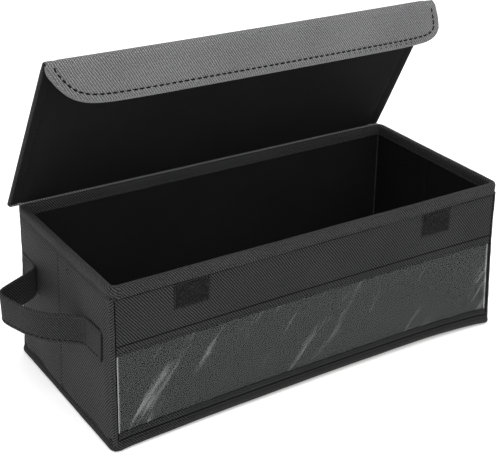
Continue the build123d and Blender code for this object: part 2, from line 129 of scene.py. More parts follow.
def fabric(name, base, lean=1.0, period=1.75, contrast=0.72, bump=0.6, rough=0.85, sheen=0.02, dots=0.62, angle=52.0,
           tint=(1.0, 1.0, 1.02), spec=0.14, lo=0.05, hi=9.0):
    """Woven polyester with a fine diagonal rib. The map named Cloth is in millimetres."""
    m, nt, sh = nodes_of(name)
    uv = nt.nodes.new("ShaderNodeUVMap")
    uv.uv_map = "Cloth"
    sep = nt.nodes.new("ShaderNodeSeparateXYZ")
    nt.links.new(uv.outputs[0], sep.inputs[0])
    u, v = sep.outputs[0], sep.outputs[1]
    # a slow wander keeps the ribs from being ruler-straight
    wob = nt.nodes.new("ShaderNodeTexNoise")
    wob.inputs["Scale"].default_value = 0.035
    wob.inputs["Detail"].default_value = 2.0
    nt.links.new(uv.outputs[0], wob.inputs["Vector"])
    shift = math_node(nt, "MULTIPLY", wob.outputs["Fac"], 3.0)
    ca, sa = math.cos(math.radians(angle)), math.sin(math.radians(angle))
    across = math_node(nt, "ADD", math_node(nt, "MULTIPLY", u, sa), math_node(nt, "MULTIPLY", v, lean * ca))
    across = math_node(nt, "ADD", across, shift)
    along = math_node(nt, "SUBTRACT", math_node(nt, "MULTIPLY", u, ca), math_node(nt, "MULTIPLY", v, lean * sa))
    rib = math_node(nt, "SINE", math_node(nt, "MULTIPLY", across, 2 * math.pi / period))
    rib = math_node(nt, "MULTIPLY_ADD", rib, 0.5, 0.5)
    rib = math_node(nt, "POWER", rib, 1.4)
    yarn = math_node(nt, "SINE", math_node(nt, "MULTIPLY", along, 2 * math.pi / (period * 0.62)))
    yarn = math_node(nt, "MULTIPLY_ADD", yarn, 0.5, 0.5)
    cell = math_node(nt, "MULTIPLY", rib, math_node(nt, "MULTIPLY_ADD", yarn, dots, 1.0 - dots))
    height = math_node(nt, "ADD", cell, math_node(nt, "MULTIPLY", yarn, 0.08))
    # fibre speckle and broad wear
    fine = nt.nodes.new("ShaderNodeTexNoise")
    fine.inputs["Scale"].default_value = 0.95
    fine.inputs["Detail"].default_value = 3.0
    nt.links.new(uv.outputs[0], fine.inputs["Vector"])
    broad = nt.nodes.new("ShaderNodeTexNoise")
    broad.inputs["Scale"].default_value = 0.018
    broad.inputs["Detail"].default_value = 4.0
    nt.links.new(uv.outputs[0], broad.inputs["Vector"])
    tone = math_node(nt, "ADD", math_node(nt, "MULTIPLY", height, contrast * 1.6),
                     math_node(nt, "MULTIPLY_ADD", fine.outputs["Fac"], 1.7, -0.62))
    tone = math_node(nt, "ADD", tone, math_node(nt, "MULTIPLY", broad.outputs["Fac"], 0.35), clamp=False)
    tone = math_node(nt, "MULTIPLY", tone, 0.72, clamp=True)
    col = ramp(nt, tone, [(0.0, grey(base * lo, tint)), (0.5, grey(base, tint)), (1.0, grey(base * hi, tint))])
    nt.links.new(col, sh.inputs["Base Color"])
    rr = math_node(nt, "MULTIPLY_ADD", fine.outputs["Fac"], 0.16, rough - 0.08, clamp=True)
    nt.links.new(rr, sh.inputs["Roughness"])
    sh.inputs["Sheen Weight"].default_value = sheen
    sh.inputs["Sheen Roughness"].default_value = 0.45
    sh.inputs["Specular IOR Level"].default_value = spec
    b = nt.nodes.new("ShaderNodeBump")
    b.inputs["Strength"].default_value = bump
    b.inputs["Distance"].default_value = 0.0004
    hh = math_node(nt, "ADD", height, math_node(nt, "MULTIPLY", fine.outputs["Fac"], 0.5))
    nt.links.new(hh, b.inputs["Height"])
    nt.links.new(b.outputs[0], sh.inputs["Normal"])
    return m


def thread_material(name, base):
    m, nt, sh = nodes_of(name)
    tc = nt.nodes.new("ShaderNodeTexCoord")
    w = nt.nodes.new("ShaderNodeTexNoise")
    w.inputs["Scale"].default_value = 1800.0
    w.inputs["Detail"].default_value = 2.0
    nt.links.new(tc.outputs["Object"], w.inputs["Vector"])
    col = ramp(nt, w.outputs["Fac"], [(0.3, grey(base * 0.6)), (0.7, grey(base * 1.5))])
    nt.links.new(col, sh.inputs["Base Color"])
    sh.inputs["Roughness"].default_value = 0.85
    sh.inputs["Specular IOR Level"].default_value = 0.04
    b = nt.nodes.new("ShaderNodeBump")
    b.inputs["Strength"].default_value = 0.4
    b.inputs["Distance"].default_value = 0.0001
    nt.links.new(w.outputs["Fac"], b.inputs["Height"])
    nt.links.new(b.outputs[0], sh.inputs["Normal"])
    return m


def pile_material(name, base, scale, rough=0.95):
    m, nt, sh = nodes_of(name)
    tc = nt.nodes.new("ShaderNodeTexCoord")
    n1 = nt.nodes.new("ShaderNodeTexNoise")
    n1.inputs["Scale"].default_value = scale
    n1.inputs["Detail"].default_value = 4.0
    n1.inputs["Roughness"].default_value = 0.7
    nt.links.new(tc.outputs["Object"], n1.inputs["Vector"])
    v = nt.nodes.new("ShaderNodeTexVoronoi")
    v.inputs["Scale"].default_value = scale * 1.5
    nt.links.new(tc.outputs["Object"], v.inputs["Vector"])
    mix = math_node(nt, "ADD", math_node(nt, "MULTIPLY", n1.outputs["Fac"], 0.7), math_node(nt, "MULTIPLY", v.outputs["Distance"], 0.5))
    col = ramp(nt, mix, [(0.38, grey(base * 0.1)), (0.6, grey(base)), (0.78, grey(base * 9.0))])
    nt.links.new(col, sh.inputs["Base Color"])
    sh.inputs["Roughness"].default_value = rough
    sh.inputs["Sheen Weight"].default_value = 0.02
    sh.inputs["Specular IOR Level"].default_value = 0.12
    b = nt.nodes.new("ShaderNodeBump")
    b.inputs["Strength"].default_value = 0.9
    b.inputs["Distance"].default_value = 0.0005
    nt.links.new(mix, b.inputs["Height"])
    nt.links.new(b.outputs[0], sh.inputs["Normal"])
    return m


def film_material(name):
    """Clear soft vinyl: a faint grey veil that is a painted reflection of the bright floor, hazy slanting streaks that
    are partly scuffs and partly painted streak highlights, and paler where it is folded in at both ends, partly painted
    highlight.
    """
    m, nt, sh = nodes_of(name)
    uv = nt.nodes.new("ShaderNodeUVMap")
    uv.uv_map = "Cloth"
    turn = nt.nodes.new("ShaderNodeMapping")
    turn.inputs["Rotation"].default_value = (0, 0, math.radians(38))
    nt.links.new(uv.outputs[0], turn.inputs["Vector"])
    mp = nt.nodes.new("ShaderNodeMapping")
    mp.inputs["Scale"].default_value = (0.085, 0.010, 1.0)
    nt.links.new(turn.outputs[0], mp.inputs["Vector"])
    n1 = nt.nodes.new("ShaderNodeTexNoise")
    n1.inputs["Scale"].default_value = 1.0
    n1.inputs["Detail"].default_value = 5.0
    n1.inputs["Roughness"].default_value = 0.62
    nt.links.new(mp.outputs[0], n1.inputs["Vector"])
    # slanting streaks: hazy scuffs, partly painted streak highlights
    streak_haze_glare = math_node(nt, "MULTIPLY_ADD", n1.outputs["Fac"], 9.0, -5.2, clamp=True)
    sep = nt.nodes.new("ShaderNodeSeparateXYZ")
    nt.links.new(uv.outputs[0], sep.inputs[0])
    # paler folded-in ends at both sides, partly painted highlight
    end = math_node(nt, "ABSOLUTE", sep.outputs[0])
    end = math_node(nt, "MULTIPLY_ADD", end, 0.55, -0.55 * 171.6, clamp=True)
    haze_glare = math_node(nt, "ADD", math_node(nt, "MULTIPLY", streak_haze_glare, 0.16), math_node(nt, "MULTIPLY", end, 0.55), clamp=True)
    # the constant 0.20 alpha is painted reflection: a grey veil standing in for the bright floor mirrored in the film
    cover = math_node(nt, "ADD", haze_glare, 0.20, clamp=True)
    nt.links.new(cover, sh.inputs["Alpha"])
    pale_haze_glare = math_node(nt, "ADD", math_node(nt, "MULTIPLY", streak_haze_glare, 0.6), end, clamp=True)
    col = ramp(nt, pale_haze_glare, [(0.0, (0.050, 0.052, 0.053)), (0.5, (0.20, 0.205, 0.205)), (1.0, (0.44, 0.45, 0.45))])
    nt.links.new(col, sh.inputs["Base Color"])
    sh.inputs["Roughness"].default_value = 0.08
    sh.inputs["IOR"].default_value = 1.6
    return m


def board_material(name):
    m, nt, sh = nodes_of(name)
    tc = nt.nodes.new("ShaderNodeTexCoord")
    n1 = nt.nodes.new("ShaderNodeTexNoise")
    n1.inputs["Scale"].default_value = 420.0
    n1.inputs["Detail"].default_value = 6.0
    nt.links.new(tc.outputs["Object"], n1.inputs["Vector"])
    col = ramp(nt, n1.outputs["Fac"], [(0.3, (0.16, 0.145, 0.125)), (0.7, (0.29, 0.26, 0.22))])
    nt.links.new(col, sh.inputs["Base Color"])
    sh.inputs["Roughness"].default_value = 0.9
    b = nt.nodes.new("ShaderNodeBump")
    b.inputs["Strength"].default_value = 0.3
    b.inputs["Distance"].default_value = 0.0002
    nt.links.new(n1.outputs["Fac"], b.inputs["Height"])
    nt.links.new(b.outputs[0], sh.inputs["Normal"])
    return m


M_FRONT = fabric("fabric_front", 0.0040, lean=1.0, contrast=0.85, hi=12.0)
M_SIDE = fabric("fabric_side", 0.0080, lean=-1.0)
M_HEM = fabric("fabric_hem", 0.0090, lean=1.0, period=1.6, contrast=0.65)
M_BIND = fabric("fabric_binding", 0.0060, lean=1.0, period=1.6, contrast=0.65)
# lid and flap cloth: the walls' fabric made far lighter, partly painted light for the light the tilted flap catches
# from above and partly a lighter cloth; the flap's edge binding is lighter still
M_LID = fabric("fabric_lid", 0.088, lean=-1.0, period=1.75, contrast=0.75, dots=0.85, angle=58.0, sheen=0.1, lo=0.22, hi=2.9, spec=0.2)
M_LID_EDGE = fabric("fabric_lid_edge", 0.115, lean=-1.0, period=1.5, contrast=0.5, sheen=0.1, lo=0.4, hi=2.0, spec=0.2, bump=0.4)
M_LINING = fabric("fabric_lining", 0.0085, lean=1.0, period=1.5, contrast=0.25, bump=0.15, sheen=0.0, spec=0.06, hi=2.0)
M_LID_IN = fabric("fabric_lid_inside", 0.0058, lean=-1.0, period=1.6, contrast=0.6, bump=0.4, sheen=0.0, spec=0.06, lo=0.2, hi=3.2)
M_STRAP = fabric("fabric_strap", 0.0070, lean=-1.0, period=1.7)
M_THREAD = thread_material("thread", 0.034)
# dark thread for real stitches, also used for the dark cords that paint shade in grooves and under edges
M_DARK_THREAD_AND_SHADE = thread_material("dark_thread_and_shade", 0.0022)
M_LOOP = pile_material("loop_pile", 0.0022, 900.0)
M_HOOK = pile_material("hook_tape", 0.008, 1400.0, rough=0.6)
M_FILM = film_material("clear_film")
M_BOARD = board_material("stiffener_board")


# ============================================================ mesh helpers
def smoothstep(t):
    t = np.clip(t, 0, 1)
    return t * t * (3 - 2 * t)


def lid_taper(V):
    """The soft lid is a little wider at the hinge than at the fold, its fold line drops towards one end, and the corner there is soft."""
    V = np.array(V, float)
    a = math.radians(LID_OPEN)
    along = (V[:, 1] - HINGE_Y) * -math.cos(a) + (V[:, 2] - HINGE_Z) * math.sin(a)
    off = (V[:, 1] - HINGE_Y) * -math.sin(a) - (V[:, 2] - HINGE_Z) * math.cos(a)
    b = math.radians(LID_OPEN - FLAP_FOLD)
    fy = HINGE_Y - LID_REACH * math.cos(a)
    fz = HINGE_Z + LID_REACH * math.sin(a)
    drop = (V[:, 1] - fy) * -math.cos(b) + (V[:, 2] - fz) * math.sin(b)
    fin = (V[:, 1] - fy) * -math.sin(b) - (V[:, 2] - fz) * math.cos(b)
    on_flap = (np.abs(fin) < np.abs(off)) & (drop > 4.0) & (along > 60.0)
    s = np.clip(along / (LID_REACH - 6.0), 0, 1)
    right = np.where(on_flap, np.interp(drop, [4.6, 8, 11.5, 17, 22, 27, 33, 40], [-9.0, -8.0, -7.0, -5.4, -4.2, -2.8, -2.2, -2.0]),
                     np.interp(s, [0, 0.2, 0.8, 0.93, 1.0], [2.4, 1.2, -3.6, -6.0, -9.0]))
    s = np.where(on_flap, 1.0, s)
    t = np.clip((V[:, 0] - LID_X0) / (LID_X1 - LID_X0), 0, 1)
    V[:, 0] += (1 - t) * (-2.0 + 3.0 * s) + t ** 2 * right
    V[:, 2] -= (1.0 * t - 0.2) * s ** 2 + 0.9 * smoothstep((t - 0.955) / 0.045) * s ** 8
    return V


def make(name, verts, faces, corner_uv, mats, face_mat=None, sharp=50.0):
    """A mesh object from millimetre vertices; corner_uv holds one (u, v) in millimetres for every face corner."""
    if name.startswith(("lid_", "flap_", "hook_")) and name != "lid_hinge_gusset":
        verts = lid_taper(verts)
    me = bpy.data.meshes.new(name)
    me.from_pydata((np.asarray(verts, float) * MM).tolist(), [], faces)
    for m in mats if isinstance(mats, (list, tuple)) else [mats]:
        me.materials.append(m)
    if corner_uv is not None:
        layer = me.uv_layers.new(name="Cloth")
        layer.data.foreach_set("uv", np.asarray(corner_uv, np.float32).ravel())
    if face_mat is not None:
        me.polygons.foreach_set("material_index", np.asarray(face_mat, np.int32))
    me.polygons.foreach_set("use_smooth", [True] * len(me.polygons))
    me.validate()
    me.update()
    me.set_sharp_from_angle(angle=math.radians(sharp))
    ob = bpy.data.objects.new(name, me)
    bpy.context.scene.collection.objects.link(ob)
    return ob


def unit(v):
    n = np.linalg.norm(v, axis=-1, keepdims=True)
    return v / np.maximum(n, 1e-9)


def slab(name, outer, inner, uv, mats, round_edge=True, open_sides=(), inner_mat=None, warp=None, steps=2):
    """Closed sheet between two grids (nu, nv, 3). Border edges are rounded, except those named in open_sides, which end flat
    (i0, i1, j0 or j1), so that two pieces can meet there."""
    outer, inner = np.asarray(outer, float), np.asarray(inner, float)
    nu, nv = outer.shape[:2]
    uv = np.asarray(uv, float)
    verts = [outer.reshape(-1, 3), inner.reshape(-1, 3)]
    n = nu * nv
    idx = np.arange(n).reshape(nu, nv)
    faces, cuv, fm = [], [], []

    def quad(a, b, c, d, ua, ub, uc, ud, mat=0):
        faces.append((a, b, c, d))
        cuv.extend((ua, ub, uc, ud))
        fm.append(mat)

    U = uv.reshape(-1, 2)
    for i in range(nu - 1):
        for j in range(nv - 1):
            a, b, c, d = idx[i, j], idx[i + 1, j], idx[i + 1, j + 1], idx[i, j + 1]
            quad(a, b, c, d, U[a], U[b], U[c], U[d])
            quad(d + n, c + n, b + n, a + n, U[d], U[c], U[b], U[a], 0 if inner_mat is None else inner_mat)
    # border loop, anticlockwise seen from the outer side
    loop = [(i, 0) for i in range(nu - 1)] + [(nu - 1, j) for j in range(nv - 1)] + \
           [(i, nv - 1) for i in range(nu - 1, 0, -1)] + [(0, j) for j in range(nv - 1, 0, -1)]
    L = len(loop)
    mid = 0.5 * (outer + inner)
    half = 0.5 * (outer - inner)
    dirs = np.zeros((L, 3))
    flat = np.zeros(L, bool)
    for k, (i, j) in enumerate(loop):
        d = np.zeros(3)
        is_flat = False
        if i == 0:
            d += unit(mid[0, j] - mid[1, j]); is_flat |= "i0" in open_sides
        if i == nu - 1:
            d += unit(mid[-1, j] - mid[-2, j]); is_flat |= "i1" in open_sides
        if j == 0:
            d += unit(mid[i, 0] - mid[i, 1]); is_flat |= "j0" in open_sides
        if j == nv - 1:
            d += unit(mid[i, -1] - mid[i, -2]); is_flat |= "j1" in open_sides
        dirs[k] = unit(d)
        flat[k] = is_flat or not round_edge
    rings = []
    for s in range(1, steps + 1):
        a = math.pi * s / (steps + 1)
        ring = []
        for k, (i, j) in enumerate(loop):
            h = half[i, j]
            out = 0.0 if flat[k] else np.linalg.norm(h)
            ring.append(mid[i, j] + h * math.cos(a) + dirs[k] * out * math.sin(a))
        rings.append(np.array(ring))
    base = 2 * n
    for r in rings:
        verts.append(r)
    ids = [[idx[i, j] for i, j in loop]]
    for s in range(steps):
        ids.append([base + s * L + k for k in range(L)])
    ids.append([idx[i, j] + n for i, j in loop])
    Ub = [U[idx[i, j]] for i, j in loop]
    for s in range(len(ids) - 1):
        for k in range(L):
            k2 = (k + 1) % L
            quad(ids[s][k], ids[s + 1][k], ids[s + 1][k2], ids[s][k2], Ub[k], Ub[k] + (0, .4), Ub[k2] + (0, .4), Ub[k2], 0)
    V = np.concatenate(verts)
    if warp is not None:
        V = warp(V)
    return make(name, V, faces, cuv, mats, fm if inner_mat is not None else None)


def sweep(name, rings, closed, mats, u_of, v_of, sharp=50.0):
    """rings: (n stations, m section points, 3). u_of: length at each station, v_of: length round the section (m + 1)."""
    rings = np.asarray(rings, float)
    n, m = rings.shape[:2]
    faces, cuv = [], []
    last = n if closed else n - 1
    for i in range(last):
        i2 = (i + 1) % n
        u0, u1 = u_of[i], u_of[i + 1]
        for j in range(m):
            j2 = (j + 1) % m
            faces.append((i * m + j, i * m + j2, i2 * m + j2, i2 * m + j))
            cuv.extend(((u0, v_of[j]), (u0, v_of[j + 1]), (u1, v_of[j + 1]), (u1, v_of[j])))
    if not closed:
        faces.append(tuple(range(m - 1, -1, -1)))
        cuv.extend((u_of[0], v_of[j]) for j in range(m - 1, -1, -1))
        faces.append(tuple((n - 1) * m + j for j in range(m)))
        cuv.extend((u_of[n - 1], v_of[j]) for j in range(m))
    return make(name, rings.reshape(-1, 3), faces, cuv, mats, sharp=sharp)


def lengths(pts, closed=False):
    pts = np.asarray(pts, float)
    nxt = np.roll(pts, -1, 0) if closed else pts[1:]
    d = np.linalg.norm(nxt - (pts if closed else pts[:-1]), axis=1)
    return np.concatenate([[0], np.cumsum(d)])


def fix_normals(ob):
    import bmesh
    bm = bmesh.new()
    bm.from_mesh(ob.data)
    bmesh.ops.recalc_face_normals(bm, faces=bm.faces)
    bm.to_mesh(ob.data)
    bm.free()
    ob.data.update()
    return ob


def stitches(name, pts, normals, pitch=5.3, length=3.7, r=0.28, lift=0.05, mat=None, phase=0.0, sink=0.35, jitter=0.12):
    """Thread segments that rise over the cloth and dive back in, along a polyline of surface points."""
    pts, normals = np.asarray(pts, float), unit(np.asarray(normals, float))
    s = lengths(pts)
    total = s[-1]
    count = max(1, int((total - phase) / pitch))
    verts, faces = [], []
    R, K = 6, 7
    for c in range(count):
        s0 = phase + (c + 0.5) * pitch - length / 2 + RNG.normal(0, jitter)
        path, nn = [], []
        for k in range(K):
            t = k / (K - 1)
            at = min(max(s0 + t * length, 0), total)
            p = np.array([np.interp(at, s, pts[:, q]) for q in range(3)])
            q_ = unit(np.array([np.interp(at, s, normals[:, q]) for q in range(3)]))
            rise = lift + r * 0.55 - (sink + r) * abs(2 * t - 1) ** 3
            path.append(p + q_ * rise)
            nn.append(q_)
        path = np.array(path)
        tan = unit(np.gradient(path, axis=0))
        b0 = len(verts)
        for k in range(K):
            side = unit(np.cross(tan[k], nn[k]))
            up = unit(np.cross(side, tan[k]))
            rk = r * (1.0 - 0.35 * abs(2 * k / (K - 1) - 1) ** 2)
            for q in range(R):
                a = 2 * math.pi * q / R
                verts.append(path[k] + side * math.cos(a) * rk * 1.15 + up * math.sin(a) * rk * 0.8)
        for k in range(K - 1):
            for q in range(R):
                q2 = (q + 1) % R
                faces.append((b0 + k * R + q, b0 + (k + 1) * R + q, b0 + (k + 1) * R + q2, b0 + k * R + q2))
        faces.append(tuple(b0 + q for q in range(R)))
        faces.append(tuple(b0 + (K - 1) * R + q for q in range(R - 1, -1, -1)))
    ob = make(name, verts, faces, None, mat or M_THREAD, sharp=70)
    return fix_normals(ob)


def smooth_noise(x, y, scale, seed=0, octaves=2):
    """Gentle repeatable waves over millimetre coordinates, about -1 to 1."""
    rng = np.random.default_rng(seed)
    out = np.zeros_like(np.asarray(x, float))
    amp, tot = 1.0, 0.0
    for o in range(octaves):
        for _ in range(4):
            a = rng.uniform(0, 2 * math.pi)
            f = 2 * math.pi / (scale * rng.uniform(0.7, 1.4)) * (1.9 ** o)
            out = out + amp * np.sin((x * math.cos(a) + y * math.sin(a)) * f + rng.uniform(0, 6.28)) / 2.4
        tot += amp
        amp *= 0.5
    return out / tot


# ============================================================ soft shape of the case
BOW_T = np.array([0, .035, .22, .49, .76, .80, .86, .925, .96, .99, 1.0])
BOW_D = np.array([0, 2.4, 4.0, 5.7, 7.5, 7.5, 7.0, 5.3, 3.9, 1.4, 0.0]) / 7.5


def warp_case(V):
    """The walls spread a little towards the floor, and the middle of the front foot is drawn up and in."""
    V = np.array(V, float)
    x, y, z = V[:, 0].copy(), V[:, 1].copy(), V[:, 2].copy()
    foot = np.clip((94.0 - z) / 94.0, 0, 1) ** 1.25
    V[:, 0] = x * (1 + 1.9 * foot / HL)
    V[:, 1] = y * (1 + 3.3 * foot / HD)
    t = np.clip((x + HL) / (2 * HL), 0, 1)
    bow = np.interp(t, BOW_T, BOW_D)
    near = smoothstep((-y - 55.0) / 22.0)
    low = np.exp(-np.clip(z, 0, None) / 26.0)
    V[:, 2] += 3.6 * bow * near * low
    mid = np.clip(1 - (x / HL) ** 2, 0, 1)
    V[:, 1] += near * (mid * 3.2 * np.clip((118.0 - z) / 60.0, 0, 1) + bow * 1.5 * low)
    return V


def wall(side, u, z, w):
    """Point on a wall: u to the right as seen from outside, z up, w outwards from the cover's face."""
    u, z, w = np.broadcast_arrays(np.asarray(u, float), np.asarray(z, float), np.asarray(w, float))
    if side == "front":
        return np.stack([u, -HD - w, z], -1)
    if side == "rear":
        return np.stack([-u, HD + w, z], -1)
    if side == "left":
        return np.stack([-HL - w, -u, z], -1)
    return np.stack([HL + w, u, z], -1)


def wall_slab(name, side, u0, u1, z0, z1, w_in, w_out, mat, puff=0.0, nu=60, nv=24, seed=1, wave=0.0, groove=None, body="case",
              nodes=(), edge=2.5, uv_flip=False, warp=warp_case, curve=None):
    us = np.linspace(u0, u1, nu)
    zs = np.linspace(z0, z1, nv)
    Ug, Zg = np.meshgrid(us, zs, indexing="ij")
    du = np.minimum(Ug - u0, u1 - Ug)
    dz = np.minimum(Zg - z0, z1 - Zg)
    rise = np.minimum(smoothstep(du / edge / 4), smoothstep(dz / edge / 4))
    bump_ = puff * rise + wave * smooth_noise(Ug, Zg, 60, seed) * rise
    if groove is not None:
        bump_ = bump_ + groove(Ug, Zg)
    if curve is not None:
        bump_ = bump_ + curve(Ug, Zg)
    outer = wall(side, Ug, Zg, w_out + bump_)
    inner = wall(side, Ug, Zg, w_in + bump_)
    uv = np.stack([Ug * (-1 if uv_flip else 1), Zg], -1)
    ob = slab(name, outer, inner, uv, mat, warp=warp)
    fix_normals(ob)
    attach(ob, body)
    if nodes:
        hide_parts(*nodes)
    return ob


# ============================================================ case: walls
SEAM_IN = 2.6     # the wall covers stop this far short of the corner line


def crease(c, depth=0.9, width=1.3):
    return lambda U, Z: -depth * np.exp(-((U - c) / width) ** 2)


wall_slab("front_band_cover", "front", -HL + SEAM_IN, HL - SEAM_IN, 84.2, 122.8, -0.8, 0.0, M_FRONT, puff=0.25, nu=150, nv=30,
          wave=0.16, seed=3, nodes=["front_band_cover"])
wall_slab("front_band_board", "front", -HL + 4.8, HL - 4.8, 84.8, 130.2, -2.7, -0.85, M_BOARD, nu=60, nv=8,
          nodes=["front_band_board"])
wall_slab("front_band_lining", "front", -HL + 2.5, HL - 2.5, 84.4, 130.8, -3.4, -2.75, M_LINING, nu=90, nv=16, puff=-0.25, wave=0.1,
          nodes=["front_band_lining"])
wall_slab("rear_cover", "rear", -HL + SEAM_IN, HL - SEAM_IN, 0.6, 123.5, -0.8, 0.0, M_FRONT, puff=0.7, nu=130, nv=60, wave=0.35,
          seed=5, nodes=["rear_cover"])
wall_slab("rear_board", "rear", -HL + 4.8, HL - 4.8, 1.0, 130.2, -2.7, -0.85, M_BOARD, nu=60, nv=24, nodes=["rear_board"])
wall_slab("rear_lining", "rear", -HL + 2.5, HL - 2.5, 1.0, 130.8, -3.4, -2.75, M_LINING, nu=110, nv=40, puff=-0.3, wave=0.25,
          seed=8, nodes=["rear_lining"])

for side, sgn in (("left", -1), ("right", 1)):
    # u runs along -Y on the left wall and along +Y on the right wall
    cu = -5.0 if side == "left" else 5.0
    wall_slab(f"{side}_cover", side, -HD + SEAM_IN, HD - SEAM_IN, 0.6, 123.5, -0.8, 0.0, M_SIDE, puff=0.8, nu=110, nv=60, wave=0.3,
              seed=11 + sgn, groove=crease(cu, 0.75, 1.2), nodes=[f"{side}_cover"])
    front_u = (cu + 0.8, HD - 4.5) if side == "left" else (-HD + 4.5, cu - 0.8)
    rear_u = (-HD + 4.5, cu - 0.8) if side == "left" else (cu + 0.8, HD - 4.5)
    for part, (ua, ub) in (("front", front_u), ("rear", rear_u)):
        wall_slab(f"{side}_board_{part}", side, ua, ub, 1.0, 130.2, -2.7, -0.95, M_BOARD, nu=24, nv=24,
                  nodes=[f"{side}_board_{part}"])
    wall_slab(f"{side}_lining", side, -HD + 3.0, HD - 3.0, 1.0, 130.8, -3.4, -2.75, M_LINING, puff=-0.3, nu=90, nv=50, wave=0.3,
              seed=21 + sgn, groove=lambda U, Z, c=cu: 0.5 * np.exp(-((U - c) / 1.3) ** 2), nodes=[f"{side}_lining"])

# base cover, seen from below
bx, by = np.meshgrid(np.linspace(-HL + 0.9, HL - 0.9, 90), np.linspace(-HD + 0.9, HD - 0.9, 50), indexing="ij")
bz = 0.12 * smooth_noise(bx, by, 70, 31) + 0.2
base = slab("base_cover", np.stack([bx, by, bz + 0.75], -1), np.stack([bx, by, bz * 0 + 0.02], -1), np.stack([bx, by], -1), M_SIDE,
            warp=warp_case)
fix_normals(base)
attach(base, "case")
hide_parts("base_cover")

# corner rolls where the side and front or rear covers are sewn together
for sx in (-1, 1):
    for sy in (-1, 1):
        zs = np.linspace(1.0, 122.6, 64)
        R = 2.3
        ang = np.linspace(0, 2 * math.pi, 20, endpoint=False)
        cx, cy = sx * (HL - R + 0.1), sy * (HD - R + 0.1)
        rings = []
        for k, z in enumerate(zs):
            rr = R * (1 + 0.03 * math.sin(z * 0.31 + sx + 2 * sy) + 0.02 * math.sin(z * 0.77))
            ring = np.stack([cx + rr * np.cos(ang), cy + rr * np.sin(ang), np.full_like(ang, z)], -1)
            rings.append(warp_case(ring))
        v_of = np.linspace(0, 2 * math.pi * R, 21)
        nm = f"corner_seam_{'front' if sy < 0 else 'rear'}_{'left' if sx < 0 else 'right'}"
        ob = sweep(nm, rings, False, M_SIDE, zs, v_of)
        fix_normals(ob)
        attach(ob, "case")
        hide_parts(nm)


# ============================================================ rim hem and bottom binding
def rounded_path(hx, hy, r, step=2.4):
    """Anticlockwise rounded rectangle: points and outward normals, starting at the middle of the front."""
    pts, nor = [], []

    def run(p, q, n):
        k = max(2, int(math.dist(p, q) / step))
        for i in range(k):
            t = i / k
            pts.append((p[0] + (q[0] - p[0]) * t, p[1] + (q[1] - p[1]) * t))
            nor.append(n)

    def arc(c, a0):
        for i in range(7):
            a = math.radians(a0 + 90 * i / 7)
            pts.append((c[0] + r * math.cos(a), c[1] + r * math.sin(a)))
            nor.append((math.cos(a), math.sin(a)))
    run((-hx + r, -hy), (hx - r, -hy), (0, -1)); arc((hx - r, -hy + r), -90)
    run((hx, -hy + r), (hx, hy - r), (1, 0)); arc((hx - r, hy - r), 0)
    run((hx - r, hy), (-hx + r, hy), (0, 1)); arc((-hx + r, hy - r), 90)
    run((-hx, hy - r), (-hx, -hy + r), (-1, 0)); arc((-hx + r, -hy + r), 180)
    return np.array(pts), np.array(nor)


def ring_band(name, hx, hy, r, profile_fn, mat, nodes, warp=warp_case):
    pts, nor = rounded_path(hx, hy, r)
    s = lengths(pts, closed=True)
    rings = []
    for i in range(len(pts)):
        prof = profile_fn(s[i], pts[i])
        p = np.stack([pts[i, 0] + nor[i, 0] * prof[:, 0], pts[i, 1] + nor[i, 1] * prof[:, 0], prof[:, 1]], -1)
        rings.append(warp(p))
    v = lengths(profile_fn(0, pts[0]), closed=True)
    ob = sweep(name, rings, True, mat, s, v)
    fix_normals(ob)
    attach(ob, "case")
    if nodes:
        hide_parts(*nodes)
    return ob


def hem_profile(s, p):
    """Fabric folded over the rim: outer leg, rounded top, inner leg. w is outwards from the wall's middle."""
    wav = 0.18 * math.sin(s * 0.055) + 0.12 * math.sin(s * 0.19 + 1.3)
    zo = 0.22 * math.sin(s * 0.041 + 0.5)
    T = 0.75
    out = [(2.35, 121.9 + zo), (2.55, 122.3 + zo), (2.62, 122.9), (2.45, 123.6), (2.22, 124.1), (2.42, 124.7), (2.85, 125.6), (3.0, 127.2),
           (2.95, 128.9), (2.7, 130.1), (2.1, 131.0), (1.2, 131.45), (0, 131.6 + wav * 0.3), (-1.2, 131.4), (-2.0, 130.9), (-2.45, 130.3),
           (-2.6, 128.9), (-2.6, 127.0), (-2.5, 125.2), (-2.15, 124.1), (-2.4, 123.3), (-2.35, 122.2)]
    inn = [(w - T if w > 0.3 else w + T if w < -0.3 else 0, z - (T if abs(w) < 2.3 and z > 130 else 0.3 if z > 130 else 0)) for w, z in out]
    prof = np.array(out + inn[::-1], float)
    prof[:, 0] += wav * 0.6
    return prof


ring_band("rim_hem", HL - 1.7, HD - 1.7, 5.0, hem_profile, M_HEM,
          ["rim_hem_front", "rim_hem_rear", "rim_hem_left", "rim_hem_right"])


def binding_profile(s, p):
    """Tape folded round the foot seam: a soft roll above the floor and a flat leg up the wall."""
    wav = 0.15 * math.sin(s * 0.06) + 0.1 * math.sin(s * 0.17 + 0.4)
    return np.array([(-2.0, 0.35), (-0.6, 0.12), (0.7, 0.1), (1.55, 0.45), (2.05, 1.3), (2.2, 2.5), (2.05, 3.7), (1.65, 4.7), (1.1, 5.3),
                     (0.85, 5.9), (1.05, 6.6), (1.0, 7.4), (0.55, 7.8), (0.1, 7.6), (-0.1, 6.0), (-0.2, 4.0), (-0.6, 2.2), (-2.0, 1.2)],
                    float) + np.array([(wav * 0.5, 0)])


ring_band("bottom_binding", HL - 0.4, HD - 0.4, 5.0, binding_profile, M_BIND,
          ["bottom_binding_front", "bottom_binding_rear", "bottom_binding_left", "bottom_binding_right"])


